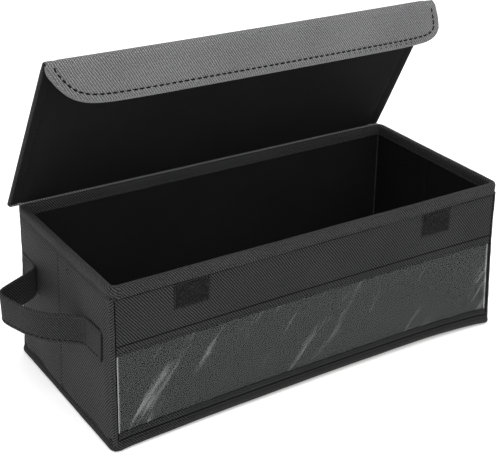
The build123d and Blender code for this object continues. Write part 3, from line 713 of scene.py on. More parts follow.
def band_stitches(name, hx, hy, corner, w, z, **kw):
    pts, nor = rounded_path(hx, hy, corner, step=2.0)
    P = np.stack([pts[:, 0] + nor[:, 0] * w, pts[:, 1] + nor[:, 1] * w, np.full(len(pts), z)], -1)
    P = warp_case(P)
    N = np.stack([nor[:, 0], nor[:, 1], np.zeros(len(nor))], -1)
    P = np.concatenate([P, P[:1]])
    N = np.concatenate([N, N[:1]])
    ob = stitches(name, P, N, **kw)
    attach(ob, "case")
    return ob


band_stitches("rim_hem_thread", HL - 1.7, HD - 1.7, 5.0, 2.3, 124.1, pitch=4.6, length=3.4, r=0.26, lift=0.12)
band_stitches("binding_thread", HL - 0.4, HD - 0.4, 5.0, 0.95, 5.9, pitch=4.6, length=3.4, r=0.24, lift=0.1, mat=M_DARK_THREAD_AND_SHADE)


def cord_profile(w, z, r):
    a = np.linspace(0, 2 * math.pi, 9)[:-1]
    return lambda s, p: np.stack([w + r * np.cos(a), z + r * np.sin(a)], -1)


# painted shade: dark cords in the groove under the rim hem's lower edge and above the bottom binding, standing for the
# shadow lines there
ring_band("rim_hem_shade_line", HL - 1.7, HD - 1.7, 5.0, cord_profile(1.98, 121.65, 0.42), M_DARK_THREAD_AND_SHADE, [])
ring_band("binding_shade_line", HL - 0.4, HD - 0.4, 5.0, cord_profile(0.62, 8.15, 0.42), M_DARK_THREAD_AND_SHADE, [])


def shade_line(name, side, pts_uz, w, r, n=60, mat=None):
    """A thin dark cord lying on a wall along (u, z) points: painted shade laid along grooves and under edges."""
    P0 = np.asarray(pts_uz, float)
    s0 = lengths(P0)
    at = np.linspace(0, s0[-1], n)
    u, z = np.interp(at, s0, P0[:, 0]), np.interp(at, s0, P0[:, 1])
    P = warp_case(wall(side, u, z, np.full(n, float(w))))
    N = unit(warp_case(wall(side, u, z, np.full(n, w + 1.0))) - P)
    tan = unit(np.gradient(P, axis=0))
    rings = []
    for i in range(n):
        b = unit(np.cross(tan[i], N[i]))
        rings.append([P[i] + r * (math.cos(q) * b + 0.8 * math.sin(q) * N[i]) for q in np.linspace(0, 2 * math.pi, 9)[:-1]])
    ob = sweep(name, rings, False, mat or M_DARK_THREAD_AND_SHADE, at, np.linspace(0, 2 * math.pi * r, 9))
    fix_normals(ob)
    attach(ob, "case")
    return ob


# painted shade: dark cords under the front band's lower edge, along the window hems' edges and down the front corner
# grooves, standing for the shadow lines there
shade_line("window_fold_shade_line", "front", [(-HL + 4, 83.9), (HL - 4, 83.9)], 0.05, 0.42, n=120)
shade_line("window_top_shade_line", "front", [(-HL + 4, 76.3), (HL - 4, 76.3)], -0.85, 0.34, n=120)
shade_line("window_bottom_shade_line", "front", [(-HL + 4, 13.3), (HL - 4, 13.3)], -0.85, 0.34, n=120)
for sg, nm in ((-1, "left"), (1, "right")):
    shade_line(f"corner_groove_shade_{nm}", "front", [(sg * (HL - 3.1), 9.5), (sg * (HL - 3.1), 121.2)], 0.02, 0.5, n=90)
    k = 1 if nm == "left" else -1
    # painted shadow: a dark cord round the strap tab's edge, standing for the shadow the tab casts on the wall
    shade_line(f"handle_{nm}_tab_shade_line", nm, [(k * 46.0, 66.5), (k * 62.5, 66.4), (k * 66.9, 70.0), (k * 66.9, 88.0), (k * 62.5, 91.8), (k * 46.0, 91.9)],
              0.55, 0.5, n=60)


# ============================================================ window
def strip_bulge(z0, z1, amount):
    return lambda U, Z: amount * np.sin(np.pi * np.clip((Z - z0) / (z1 - z0), 0, 1)) ** 0.8


wall_slab("window_hem_top", "front", -HL + 2.0, HL - 2.0, 76.3, 85.6, -1.6, -0.65, M_FRONT, nu=150, nv=14,
          curve=strip_bulge(76.3, 85.6, 0.75), nodes=["window_hem_top"], wave=0.1)
wall_slab("window_hem_bottom", "front", -HL + 2.0, HL - 2.0, 5.0, 13.2, -1.6, -0.65, M_BIND, nu=150, nv=14,
          curve=strip_bulge(5.0, 13.2, 0.6), nodes=["window_hem_bottom"], wave=0.1)

fu = np.linspace(-HL + 2.2, HL - 2.2, 170)
fz = np.linspace(7.0, 82.5, 46)
FU, FZ = np.meshgrid(fu, fz, indexing="ij")
edge_in = np.minimum(FU + HL - 2.2, HL - 2.2 - FU)
free = smoothstep(np.minimum(edge_in / 16, np.minimum((FZ - 10) / 12, (79 - FZ) / 12)))
fw = -1.15 + free * (0.55 * smooth_noise(FU, FZ, 85, 41, 2) + 0.35 * np.sin((FU * 0.8 + FZ * 1.3) * 0.045))
film = slab("window_film", wall("front", FU, FZ, fw + 0.15), wall("front", FU, FZ, fw - 0.15), np.stack([FU, FZ], -1), M_FILM,
            warp=warp_case, steps=1)
fix_normals(film)
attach(film, "case")
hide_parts("window_film")


def line_stitches(name, side, pts_uz, w, body="case", n=60, warp=warp_case, **kw):
    """Thread along a polyline of (u, z) points on a wall."""
    pts_uz = np.asarray(pts_uz, float)
    s = lengths(pts_uz)
    at = np.linspace(0, s[-1], n)
    u = np.interp(at, s, pts_uz[:, 0])
    z = np.interp(at, s, pts_uz[:, 1])
    P = wall(side, u, z, np.full(n, w))
    N = wall(side, u, z, np.full(n, w + 1.0)) - P
    if warp is not None:
        P = warp(P)
    ob = stitches(name, P, N, **kw)
    if body:
        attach(ob, body)
    return ob


line_stitches("window_hem_top_thread", "front", [(-HL + 4, 78.6), (HL - 4, 78.6)], -0.12, n=160, pitch=4.2, length=3.0, r=0.2, mat=M_DARK_THREAD_AND_SHADE)
line_stitches("window_hem_bottom_thread", "front", [(-HL + 4, 11.4), (HL - 4, 11.4)], -0.2, n=160, pitch=4.2, length=3.0, r=0.2,
              mat=M_DARK_THREAD_AND_SHADE)
line_stitches("left_mark_thread", "left", [(11.5, 117), (11.5, 112.5), (9, 109.5)], 0.72, n=12, pitch=3.0, length=2.4, r=0.3, mat=M_DARK_THREAD_AND_SHADE)


# ============================================================ closure patches
def loop_patch(name, side_x):
    """Brushed loop pad: a low uneven pile, denser at the middle, in a flat woven edge."""
    x0, x1, z0, z1 = side_x - 15, side_x + 15, 100.0, 121.6
    nu, nv = 86, 62
    U, Z = np.meshgrid(np.linspace(x0, x1, nu), np.linspace(z0, z1, nv), indexing="ij")
    d = np.minimum(np.minimum(U - x0, x1 - U), np.minimum(Z - z0, z1 - Z))
    pile = smoothstep((d - 1.4) / 0.9)
    rng = np.random.default_rng(int(abs(side_x)) + (5 if side_x > 0 else 0))
    rough = rng.uniform(0, 1, U.shape)
    rough = 0.5 * rough + 0.5 * (np.roll(rough, 1, 0) + np.roll(rough, 1, 1)) / 2
    h = 0.42 + 0.12 * smoothstep(d / 0.6) + pile * (0.12 + 0.42 * rough)
    ob = slab(name, wall("front", U, Z, -0.12 + h), wall("front", U, Z, np.full(U.shape, -0.1)), np.stack([U, Z], -1), M_LOOP,
              warp=warp_case, steps=1)
    fix_normals(ob)
    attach(ob, "case")
    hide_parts(name)
    t = line_stitches(name + "_thread", "front", [(x0 + 0.8, z0 + 0.8), (x1 - 0.8, z0 + 0.8), (x1 - 0.8, z1 - 0.8), (x0 + 0.8, z1 - 0.8),
                                                  (x0 + 0.8, z0 + 0.8)], 0.42, n=120, pitch=2.6, length=2.2, r=0.2)
    return ob


loop_patch("loop_patch_left", -113.0)
loop_patch("loop_patch_right", 113.0)


# ============================================================ loose base board
def rounded_rect_grid(hx, hy, r, nu, nv):
    """Grid over a rectangle whose outline has rounded corners."""
    a, b = np.meshgrid(np.linspace(-1, 1, nu), np.linspace(-1, 1, nv), indexing="ij")
    x, y = a * hx, b * hy
    ex, ey = np.clip(np.abs(x) - (hx - r), 0, r), np.clip(np.abs(y) - (hy - r), 0, r)
    k = np.maximum(ex, ey) / np.maximum(np.hypot(ex, ey), 1e-9)
    k = np.where((ex > 0) & (ey > 0), k, 1.0)
    return np.sign(x) * (np.abs(x) - ex + ex * k), np.sign(y) * (np.abs(y) - ey + ey * k)


ix, iy = rounded_rect_grid(172.5, 75.0, 4.0, 120, 60)
dd = np.minimum(172.5 - np.abs(ix), 75.0 - np.abs(iy))
top = 3.62 + 0.10 * smooth_noise(ix, iy, 80, 51) * smoothstep(dd / 12) - 0.35 * np.exp(-(dd / 1.0) ** 2)
ins = slab("base_insert_cover", np.stack([ix, iy, top], -1), np.stack([ix, iy, np.full(ix.shape, 3.3)], -1), np.stack([ix, iy], -1), M_LINING)
fix_normals(ins)
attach(ins, "base_insert")
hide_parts("base_insert_cover")
insp, insn = rounded_path(169.0, 71.5, 5.0, step=3.0)
ins_t = stitches("base_insert_thread", np.column_stack([np.append(insp[:, 0], insp[0, 0]), np.append(insp[:, 1], insp[0, 1]), np.full(len(insp) + 1, 3.68)]),
                 np.tile([0, 0, 1.0], (len(insp) + 1, 1)), pitch=5.0, length=3.6, r=0.22, mat=M_DARK_THREAD_AND_SHADE)
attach(ins_t, "base_insert")


# ============================================================ strap handles
LOOP = np.array([(-66.0, 178.25), (-60.0, 178.45), (-52.0, 178.6), (-45.0, 178.75), (-40.0, 179.3), (-36.0, 181.6), (-32.0, 185.6), (-28.0, 190.6),
                 (-23.0, 196.6), (-14.0, 204.0), (-4.0, 209.2), (8.0, 213.2), (16.0, 215.6), (22.0, 216.6), (26.5, 215.6), (30.0, 212.2),
                 (34.0, 204.5), (38.5, 195.0), (43.0, 186.0), (46.5, 181.2), (50.5, 179.2), (56.0, 178.8), (64.0, 178.6), (74.0, 178.4)])


def catmull(P, n):
    P = np.asarray(P, float)
    Q = np.vstack([2 * P[0] - P[1], P, 2 * P[-1] - P[-2]])
    out = []
    for i in range(len(P) - 1):
        p0, p1, p2, p3 = Q[i], Q[i + 1], Q[i + 2], Q[i + 3]
        for t in np.linspace(0, 1, 8, endpoint=False):
            out.append(0.5 * ((2 * p1) + (-p0 + p2) * t + (2 * p0 - 5 * p1 + 4 * p2 - p3) * t * t + (-p0 + 3 * p1 - 3 * p2 + p3) * t ** 3))
    out.append(P[-1])
    out = np.array(out)
    s = lengths(out)
    at = np.linspace(0, s[-1], n)
    return np.stack([np.interp(at, s, out[:, k]) for k in range(out.shape[1])], -1)


def strap(side, sgn):
    path = catmull(LOOP, 150)            # (y, |x|)
    s = lengths(path)
    tan = unit(np.gradient(path, axis=0))
    # section: height z against thickness; rolled edges, a groove under each stitch line
    zz = np.array([-12.2, -11.9, -11.0, -10.0, -9.4, -8.8, -7.6, -4.0, 0.0, 4.0, 7.6, 8.8, 9.4, 10.0, 11.0, 11.9, 12.2])
    th = np.array([0.35, 0.85, 1.15, 1.12, 0.85, 1.02, 1.08, 1.02, 1.0, 1.02, 1.08, 1.02, 0.85, 1.12, 1.15, 0.85, 0.35])
    rings = []
    for i, (y, x) in enumerate(path):
        nx, ny = tan[i, 0], -tan[i, 1]   # outward side of the band: away from the wall on the straight tabs
        n2 = np.array([tan[i, 0], -tan[i, 1]])
        # path direction (dy, dx); outward normal in (x, y) is (dy, -dx)
        n_xy = unit(np.array([tan[i, 0], -tan[i, 1]]))
        lift = 1.3 * smoothstep((y - 20) / 40)         # the rear end is sewn a little higher
        sag = -0.5 * math.sin(math.pi * np.clip((s[i] - 25) / 110, 0, 1))
        twist = 0.05 * math.sin((s[i] - 20) / 38.0)
        o = [(x + n_xy[0] * t + twist * z_, y + n_xy[1] * t, 79 + z_ + lift + sag) for z_, t in zip(zz, th)]
        q = [(x - n_xy[0] * t + twist * z_, y - n_xy[1] * t, 79 + z_ + lift + sag) for z_, t in zip(zz[::-1], th[::-1])]
        ring = np.array(o + q, float)
        foot = np.clip((94.0 - ring[:, 2]) / 94.0, 0, 1) ** 1.25
        ring[:, 0] = (ring[:, 0] + 1.9 * foot * smoothstep((192 - x) / 12)) * sgn
        rings.append(ring)
    v = lengths(rings[0], closed=True)
    ob = sweep(f"handle_{side}_band", rings, False, M_STRAP, s, v, sharp=60)
    fix_normals(ob)
    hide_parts(f"handle_{side}_strap", f"handle_{side}_tab_front", f"handle_{side}_tab_rear")
    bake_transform(ob)
    rings = np.array(rings)
    zi = {"top": 12, "bottom": 4}
    for nm, k in zi.items():
        P = rings[:, k]
        N = rings[:, k] - rings[:, len(zz) * 2 - 1 - k]
        t = stitches(f"handle_{side}_thread_{nm}", P[3:-3], N[3:-3], pitch=4.4, length=3.6, r=0.3, lift=0.12,
                     mat=M_THREAD if nm == "top" else M_DARK_THREAD_AND_SHADE)
        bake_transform(t)
    for nm, (ya, yb) in (("front", (-62.5, -42.0)), ("rear", (51.5, 70.5))):
        sel = [i for i in range(len(path)) if ya <= path[i, 0] <= yb]
        lo, hi = rings[sel][:, 4], rings[sel][:, 12]
        edge_a = np.linspace(hi[-1], lo[-1], 12)
        t = stitches(f"handle_{side}_thread_tab_{nm}", edge_a, np.tile([sgn * 1.0, 0, 0], (12, 1)), pitch=4.0, length=3.0, r=0.26, lift=0.75,
                     mat=M_THREAD)
        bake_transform(t)
    return ob


strap("left", -1)
strap("right", 1)


# ============================================================ lid, fold and flap
A = math.radians(LID_OPEN)
DL = np.array([0.0, -math.cos(A), math.sin(A)])       # along the lid, away from the hinge
NL = np.array([0.0, -math.sin(A), -math.cos(A)])      # lid's inner normal
PSI = math.radians(LID_OPEN - FLAP_FOLD)
DF = np.array([0.0, -math.cos(PSI), math.sin(PSI)])
NF = np.array([0.0, -math.sin(PSI), -math.cos(PSI)])
HINGE = np.array([0.0, HINGE_Y, HINGE_Z])
FOLD = HINGE + LID_REACH * DL
LID_END = LID_REACH - FOLD_G
AR = FOLD_G / math.tan(math.radians(FLAP_FOLD / 2))
ARC_C = HINGE + LID_END * DL + AR * NL
ARC_0 = math.atan2(-NL[2], -NL[1])
ARC_LEN = AR * math.radians(FLAP_FOLD / 2)


def lid_track(s):
    """Middle surface from the hinge to the crest of the fold: (point, inner normal), s in mm along the cloth."""
    s = np.asarray(s, float)
    p = HINGE + s[..., None] * DL
    n = np.broadcast_to(NL, p.shape).copy()
    over = s > LID_END
    a = ARC_0 + (s - LID_END) / AR
    pa = ARC_C + AR * np.stack([0 * a, np.cos(a), np.sin(a)], -1)
    na = -np.stack([0 * a, np.cos(a), np.sin(a)], -1)
    p[over], n[over] = pa[over], na[over]
    return p, n


def flap_track(f):
    """Middle surface from the crest of the fold down the flap: f = 0 at the crest."""
    f = np.asarray(f, float)
    a = ARC_0 + math.radians(FLAP_FOLD / 2) + f / AR
    pa = ARC_C + AR * np.stack([0 * a, np.cos(a), np.sin(a)], -1)
    na = -np.stack([0 * a, np.cos(a), np.sin(a)], -1)
    over = f > ARC_LEN
    p = FOLD + (FOLD_G + (f - ARC_LEN))[..., None] * DF
    n = np.broadcast_to(NF, p.shape).copy()
    pa[over], na[over] = p[over], n[over]
    return pa, na


def lid_sag(x):
    """The free edge hangs a little in its middle."""
    return 0.55 * (1 - (np.clip((x - LID_X0) / (LID_X1 - LID_X0), 0, 1) * 2 - 1) ** 2)


LID_CREST_S = LID_END + ARC_LEN


def lid_layer(name, w_out, w_in, crest_out, crest_in, mat, seed, x_in, puff, node, groove=None, s0=0.0):
    """One fabric layer of the lid: w are offsets along the inner normal, negative outside."""
    xs = np.linspace(LID_X0 + x_in, LID_X1 - x_in, 150)
    ss = np.concatenate([np.linspace(s0, LID_END - 3, 62), np.linspace(LID_END - 2, LID_CREST_S, 14)])
    X, S = np.meshgrid(xs, ss, indexing="ij")
    p, n = lid_track(S)
    p[..., 0] = X
    k = smoothstep((S - (LID_END - 3)) / (LID_CREST_S - LID_END + 3))
    dd = np.minimum(np.minimum(X - xs[0], xs[-1] - X), S)
    rise = smoothstep(dd / 12)
    wav = puff * rise * (1 - k) + 0.16 * smooth_noise(X, S, 95, seed) * rise * (1 - k)
    if groove is not None:
        wav = wav + groove(X, S)
    wo = (w_out * (1 - k) + crest_out * k + wav)[..., None]
    wi = (w_in * (1 - k) + crest_in * k + wav)[..., None]
    a, b = p + n * wo, p + n * wi
    for q in (a, b):
        q[..., 2] -= (lid_sag(X) * (S / LID_CREST_S) ** 2)
    ob = slab(name, a, b, np.stack([X, S], -1), mat, open_sides=("j1",))
    fix_normals(ob)
    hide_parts(node)
    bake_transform(ob)
    return ob


def lid_board():
    xs = np.linspace(LID_X0 + 2.6, LID_X1 - 2.6, 60)
    ss = np.linspace(2.6, LID_END - 1.2, 40)
    X, S = np.meshgrid(xs, ss, indexing="ij")
    p, n = lid_track(S)
    p[..., 0] = X
    a, b = p + n * -0.86, p + n * 0.84
    for q in (a, b):
        q[..., 2] -= (lid_sag(X) * (S / LID_CREST_S) ** 2)
    ob = slab("lid_board", a, b, np.stack([X, S], -1), M_BOARD)
    fix_normals(ob)
    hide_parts("lid_board")
    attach(ob, "lid")


lid_board()


def edge_groove(depth, at, width):
    def g(X, S):
        d = np.minimum(X - LID_X0, LID_X1 - X)
        return depth * np.exp(-((d - at) / width) ** 2)
    return g


lid_layer("lid_cover", -1.75, -0.95, -0.95, -0.15, M_LID, 61, 1.2, -0.25, "lid_cover", groove=edge_groove(0.35, 8.5, 1.2))
lid_layer("lid_lining", 0.9, 1.35, -0.1, 0.4, M_LID_IN, 62, 1.2, 0.0, "lid_lining", groove=edge_groove(-0.6, 9.0, 1.4))


def catmull_curve(P, n):
    P = np.asarray(P, float)
    Q = np.vstack([2 * P[0] - P[1], P, 2 * P[-1] - P[-2]])
    out = []
    for i in range(len(P) - 1):
        p0, p1, p2, p3 = Q[i], Q[i + 1], Q[i + 2], Q[i + 3]
        for t in np.linspace(0, 1, 10, endpoint=False):
            out.append(0.5 * ((2 * p1) + (-p0 + p2) * t + (2 * p0 - 5 * p1 + 4 * p2 - p3) * t * t + (-p0 + 3 * p1 - 3 * p2 + p3) * t ** 3))
    out.append(P[-1])
    out = np.array(out)
    s = lengths(out)
    at = np.linspace(0, s[-1], n)
    return np.stack([np.interp(at, s, out[:, k]) for k in range(out.shape[1])], -1)


# outline of the flap as cloth: (x, length from the crest); one corner is a long slant, the other is tight
FLAP_FULL = ARC_LEN + FLAP_DROP - FOLD_G - 0.6
LEFT_CORNER = [(0.0, 2.6), (0.2, 6.0), (1.5, 9.8), (4.0, 13.6), (7.8, 18.6), (12.3, 23.4), (16.6, 26.9), (21.6, 29.8), (29.6, 32.6), (41.8, 34.4),
               (60.0, FLAP_FULL - 0.25), (90.0, FLAP_FULL)]
RIGHT_CORNER = [(60.0, FLAP_FULL), (34.0, FLAP_FULL - 0.25), (22.0, 34.6), (14.0, 33.6), (8.4, 31.4), (4.4, 28.2), (1.9, 24.2), (0.7, 19.5), (0.2, 14.0),
                (0.0, 8.0), (0.0, 2.6)]
OUTLINE = catmull_curve([(LID_X0 + d, f) for d, f in LEFT_CORNER] + [(-60.0, FLAP_FULL), (20.0, FLAP_FULL)] +
                        [(LID_X1 - d, f) for d, f in RIGHT_CORNER], 420)


def flap_edge(x):
    """Free edge of the flap: cloth length from the crest, at each x."""
    mid = len(OUTLINE) // 2
    lx, lf = np.maximum.accumulate(OUTLINE[:mid, 0]), OUTLINE[:mid, 1]
    rx, rf = np.maximum.accumulate(OUTLINE[mid:, 0]), OUTLINE[mid:, 1]
    x = np.asarray(x, float)
    return np.where(x < OUTLINE[mid, 0], np.interp(x, lx, lf), np.interp(x, rx, rf))


def flap_distance(X, F):
    """Distance from the flap's outline."""
    P = OUTLINE[::2]
    best = np.full(X.shape, 1e9)
    for i in range(len(P) - 1):
        a, d = P[i], P[i + 1] - P[i]
        L2 = max(d @ d, 1e-9)
        t = np.clip(((X - a[0]) * d[0] + (F - a[1]) * d[1]) / L2, 0, 1)
        best = np.minimum(best, np.hypot(X - a[0] - t * d[0], F - a[1] - t * d[1]))
    return best


def flap_layer(name, w_out, w_in, crest_out, crest_in, mat, seed, inset, puff, node, stitch=0.0):
    nu, nv = 300, 44
    xs = LID_X0 + inset + (LID_X1 - LID_X0 - 2 * inset) * (0.5 - 0.5 * np.cos(np.linspace(0, math.pi, nu))) * 0.35 + \
        (LID_X1 - LID_X0 - 2 * inset) * np.linspace(0, 1, nu) * 0.65
    T = np.linspace(0, 1, nv)
    X = np.repeat(xs[:, None], nv, 1)
    E = flap_edge(np.clip(X, LID_X0 + inset, LID_X1 - inset)) - inset
    F = T[None, :] * E
    p, n = flap_track(F)
    p[..., 0] = X
    k = 1 - smoothstep(F / (ARC_LEN + 3.0))
    dist = flap_distance(X, F)
    rise = smoothstep(dist / 9)
    wav = puff * rise * (1 - k) + 0.22 * smooth_noise(X, F * 2, 90, seed) * rise * (1 - k)
    if stitch:
        wav = wav + stitch * np.exp(-((dist - 6.2) / 0.9) ** 2) * smoothstep((F - 2.0) / 3.0)
    thin = smoothstep(dist / 2.2) * 0.5 + 0.5
    wo = ((w_out * thin) * (1 - k) + crest_out * k + wav)[..., None]
    wi = ((w_in * thin) * (1 - k) + crest_in * k + wav)[..., None]
    a, b = p + n * wo, p + n * wi
    for q in (a, b):
        q[..., 2] -= lid_sag(X)
    ob = slab(name, a, b, np.stack([X, LID_CREST_S + F], -1), mat, open_sides=("j0",))
    fix_normals(ob)
    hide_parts(node)
    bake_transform(ob)
    return ob


def flap_board():
    xs = np.linspace(LID_X0 + 9.0, LID_X1 - 4.0, 200)
    T = np.linspace(0, 1, 24)
    X = np.repeat(xs[:, None], 24, 1)
    top = ARC_LEN + 1.0
    F = top + T[None, :] * np.maximum(flap_edge(X) - 3.4 - top, 1.0)
    p, n = flap_track(F)
    p[..., 0] = X
    a, b = p + n * -0.86, p + n * 0.84
    for q in (a, b):
        q[..., 2] -= lid_sag(X)
    ob = slab("flap_board", a, b, np.stack([X, F], -1), M_BOARD)
    fix_normals(ob)
    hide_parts("flap_board")
    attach(ob, "flap")


flap_board()
flap_layer("flap_cover", -1.75, -0.95, -0.95, -0.15, M_LID, 71, 0.9, -0.3, "flap_cover", stitch=0.5)
flap_layer("flap_lining", 1.12, 1.72, -0.1, 0.5, M_LID_IN, 72, 0.9, 0.15, "flap_lining", stitch=-0.4)


def flap_outline(inset, n_run=0):
    """Points (x, F) along the flap's outline, moved inwards by inset, from the left end round to the right end."""
    tan = unit(np.gradient(OUTLINE, axis=0))
    inward = np.stack([tan[:, 1], -tan[:, 0]], -1)
    mid = len(OUTLINE) // 2
    if inward[mid, 1] > 0:
        inward = -inward
    pts = OUTLINE + inward * inset
    keep = pts[:, 1] > 2.4
    pts = pts[keep]
    fwd = np.concatenate([[True], np.diff(pts[:, 0]) > -0.05])
    return pts[fwd]


def flap_points(xf):
    p, n = flap_track(xf[:, 1])
    p[:, 0] = xf[:, 0]
    p[:, 2] -= lid_sag(xf[:, 0])
    return p, n


def edge_roll(name, pts, nor, half_fn, width_fn, mat, u):
    """Binding round a panel edge: a rounded section wrapped over the edge; width_fn gives how far it reaches in."""
    tan = unit(np.gradient(pts, axis=0))
    rings = []
    m = 16
    for i in range(len(pts)):
        inward = unit(np.cross(nor[i], tan[i]))
        w = width_fn(i)
        half_t = half_fn(i)
        ring = []
        for q in range(m):
            a = 2 * math.pi * q / m
            ca, sa = math.cos(a), math.sin(a)
            # superellipse: flat sides, round edge
            ex = abs(ca) ** 0.8 * (1 if ca > 0 else -1)
            ey = abs(sa) ** 0.8 * (1 if sa > 0 else -1)
            ring.append(pts[i] + inward * (w / 2 + ex * w / 2) + nor[i] * ey * half_t)
        rings.append(ring)
    v = lengths(rings[len(rings) // 2], closed=True)
    ob = sweep(name, rings, False, mat, u, v)
    return fix_normals(ob)


out_pts = flap_outline(-0.35)
fp, fn = flap_points(out_pts)
fu_len = lengths(fp)
left_mid = np.cross(fn[len(fn) // 2], unit(np.gradient(fp, axis=0))[len(fn) // 2])
flip = 1 if left_mid @ DF < 0 else -1


def flap_bind_width(i):
    d = min(out_pts[i, 0] - LID_X0, LID_X1 - out_pts[i, 0])
    return flip * (2.3 + 1.6 * (1 - smoothstep(np.array(d / 34.0))))


fb = edge_roll("flap_binding", fp, fn, lambda i: 1.15 + 0.6 * float(smoothstep((out_pts[i, 1] - 3.0) / 8.0)), flap_bind_width, M_LID_EDGE, fu_len)
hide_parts("flap_binding")
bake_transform(fb)

st = flap_outline(6.2)
st = st[st[:, 1] > 3.4]
sp, sn = flap_points(st)
ob = stitches("flap_thread", sp - sn * 1.66, -sn, pitch=5.3, length=3.9, r=0.5, lift=0.12, mat=M_DARK_THREAD_AND_SHADE)
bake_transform(ob)
st2 = np.array([(x, FLAP_FULL - 3.6) for x in np.linspace(70, 140, 40)])
sp, sn = flap_points(st2)
ob = stitches("flap_thread_second", sp - sn * 1.85, -sn, pitch=5.3, length=1.6, r=0.3, lift=0.0, mat=M_DARK_THREAD_AND_SHADE)
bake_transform(ob)
st3 = flap_outline(6.2)
st3 = st3[st3[:, 1] > 3.4]
sp, sn = flap_points(st3)
ob = stitches("flap_thread_inside", sp + sn * 1.5, sn, pitch=5.3, length=3.9, r=0.3, lift=0.0, mat=M_DARK_THREAD_AND_SHADE, phase=2.6)
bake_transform(ob)

# lid side bindings
for side, xe, sg in (("left", LID_X0 - 0.3, 1), ("right", LID_X1 + 0.3, -1)):
    ss = np.concatenate([np.linspace(1.0, LID_END - 3, 60), np.linspace(LID_END - 2, LID_CREST_S - 0.9, 12)])
    p, n = lid_track(ss)
    p[:, 0] = xe
    p[:, 2] -= lid_sag(np.full(len(ss), np.clip(xe, LID_X0, LID_X1))) * (ss / LID_CREST_S) ** 2
    if side == "right":
        p = p - 0.35 * n
    tan = unit(np.gradient(p, axis=0))
    inward = np.cross(n[0], tan[0])
    f2 = 1 if inward[0] * sg > 0 else -1

    def wid(i, f2=f2, ss=ss):
        return f2 * 2.6
    # the section thins where the board ends and the fold begins
    ob = edge_roll(f"lid_binding_{side}", p, n, lambda i, ss=ss: 1.45 - 0.7 * float(smoothstep((ss[i] - LID_END + 9.0) / 9.0)), wid, M_HEM, ss)
    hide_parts(f"lid_binding_{side}")
    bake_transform(ob)
    # the seam inside the lid, along the side edge
    xs_ = xe + sg * 9.3
    q, m_ = lid_track(np.linspace(5, LID_END - 2, 90))
    q[:, 0] = xs_
    t = stitches(f"lid_thread_{side}", q + m_ * 0.95, m_, pitch=5.0, length=3.8, r=0.24, lift=0.0, mat=M_DARK_THREAD_AND_SHADE)
    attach(t, "lid")
    t = stitches(f"lid_thread_outer_{side}", q - m_ * 1.5, -m_, pitch=5.0, length=3.8, r=0.24, lift=0.0, mat=M_DARK_THREAD_AND_SHADE)
    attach(t, "lid")

# roll of folded fabric on the hinge line
ang = np.linspace(0, 2 * math.pi, 24, endpoint=False)
xs = np.linspace(LID_X0 + 1.6, LID_X1 - 1.6, 90)
rings = []
for x in xs:
    rr = HINGE_R + 0.03
    rings.append(np.stack([np.full_like(ang, x), HINGE_Y + rr * np.cos(ang), HINGE_Z + rr * np.sin(ang)], -1))
roll = sweep("lid_hinge_roll", rings, False, M_LID, xs, np.linspace(0, 2 * math.pi * HINGE_R, 25))
fix_normals(roll)
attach(roll, "hinge_strip")
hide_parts("lid_hinge_roll")

# cloth from the rear wall, over the rear rim, to the hinge roll
prof = [(81.35, 112.0), (81.5, 116.0), (81.75, 120.0), (82.15, 124.0), (82.25, 127.0), (81.9, 129.5), (81.0, 131.0), (79.8, 131.8), (78.6, 132.05),
        (77.6, 132.1), (76.6, 132.15)]
gx = np.linspace(-HL + 1.5, HL - 3.5, 90)
G, K = np.meshgrid(gx, np.arange(len(prof)), indexing="ij")
py = np.array([p[0] for p in prof])[K.astype(int)]
pz = np.array([p[1] for p in prof])[K.astype(int)]
t2 = np.gradient(np.array(prof), axis=0)
t2 = unit(t2)
ny2, nz2 = t2[:, 1], -t2[:, 0]
NY, NZ = ny2[K.astype(int)], nz2[K.astype(int)]
wv = 0.12 * smooth_noise(G, pz, 60, 81)
gv = lengths(np.array(prof))
gus = slab("lid_hinge_gusset", np.stack([G, py + NY * wv, pz + NZ * wv * 0.3], -1), np.stack([G, py - NY * 0.45, pz - NZ * 0.45], -1),
           np.stack([G, gv[K.astype(int)]], -1), M_LID)
fix_normals(gus)
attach(gus, "case")


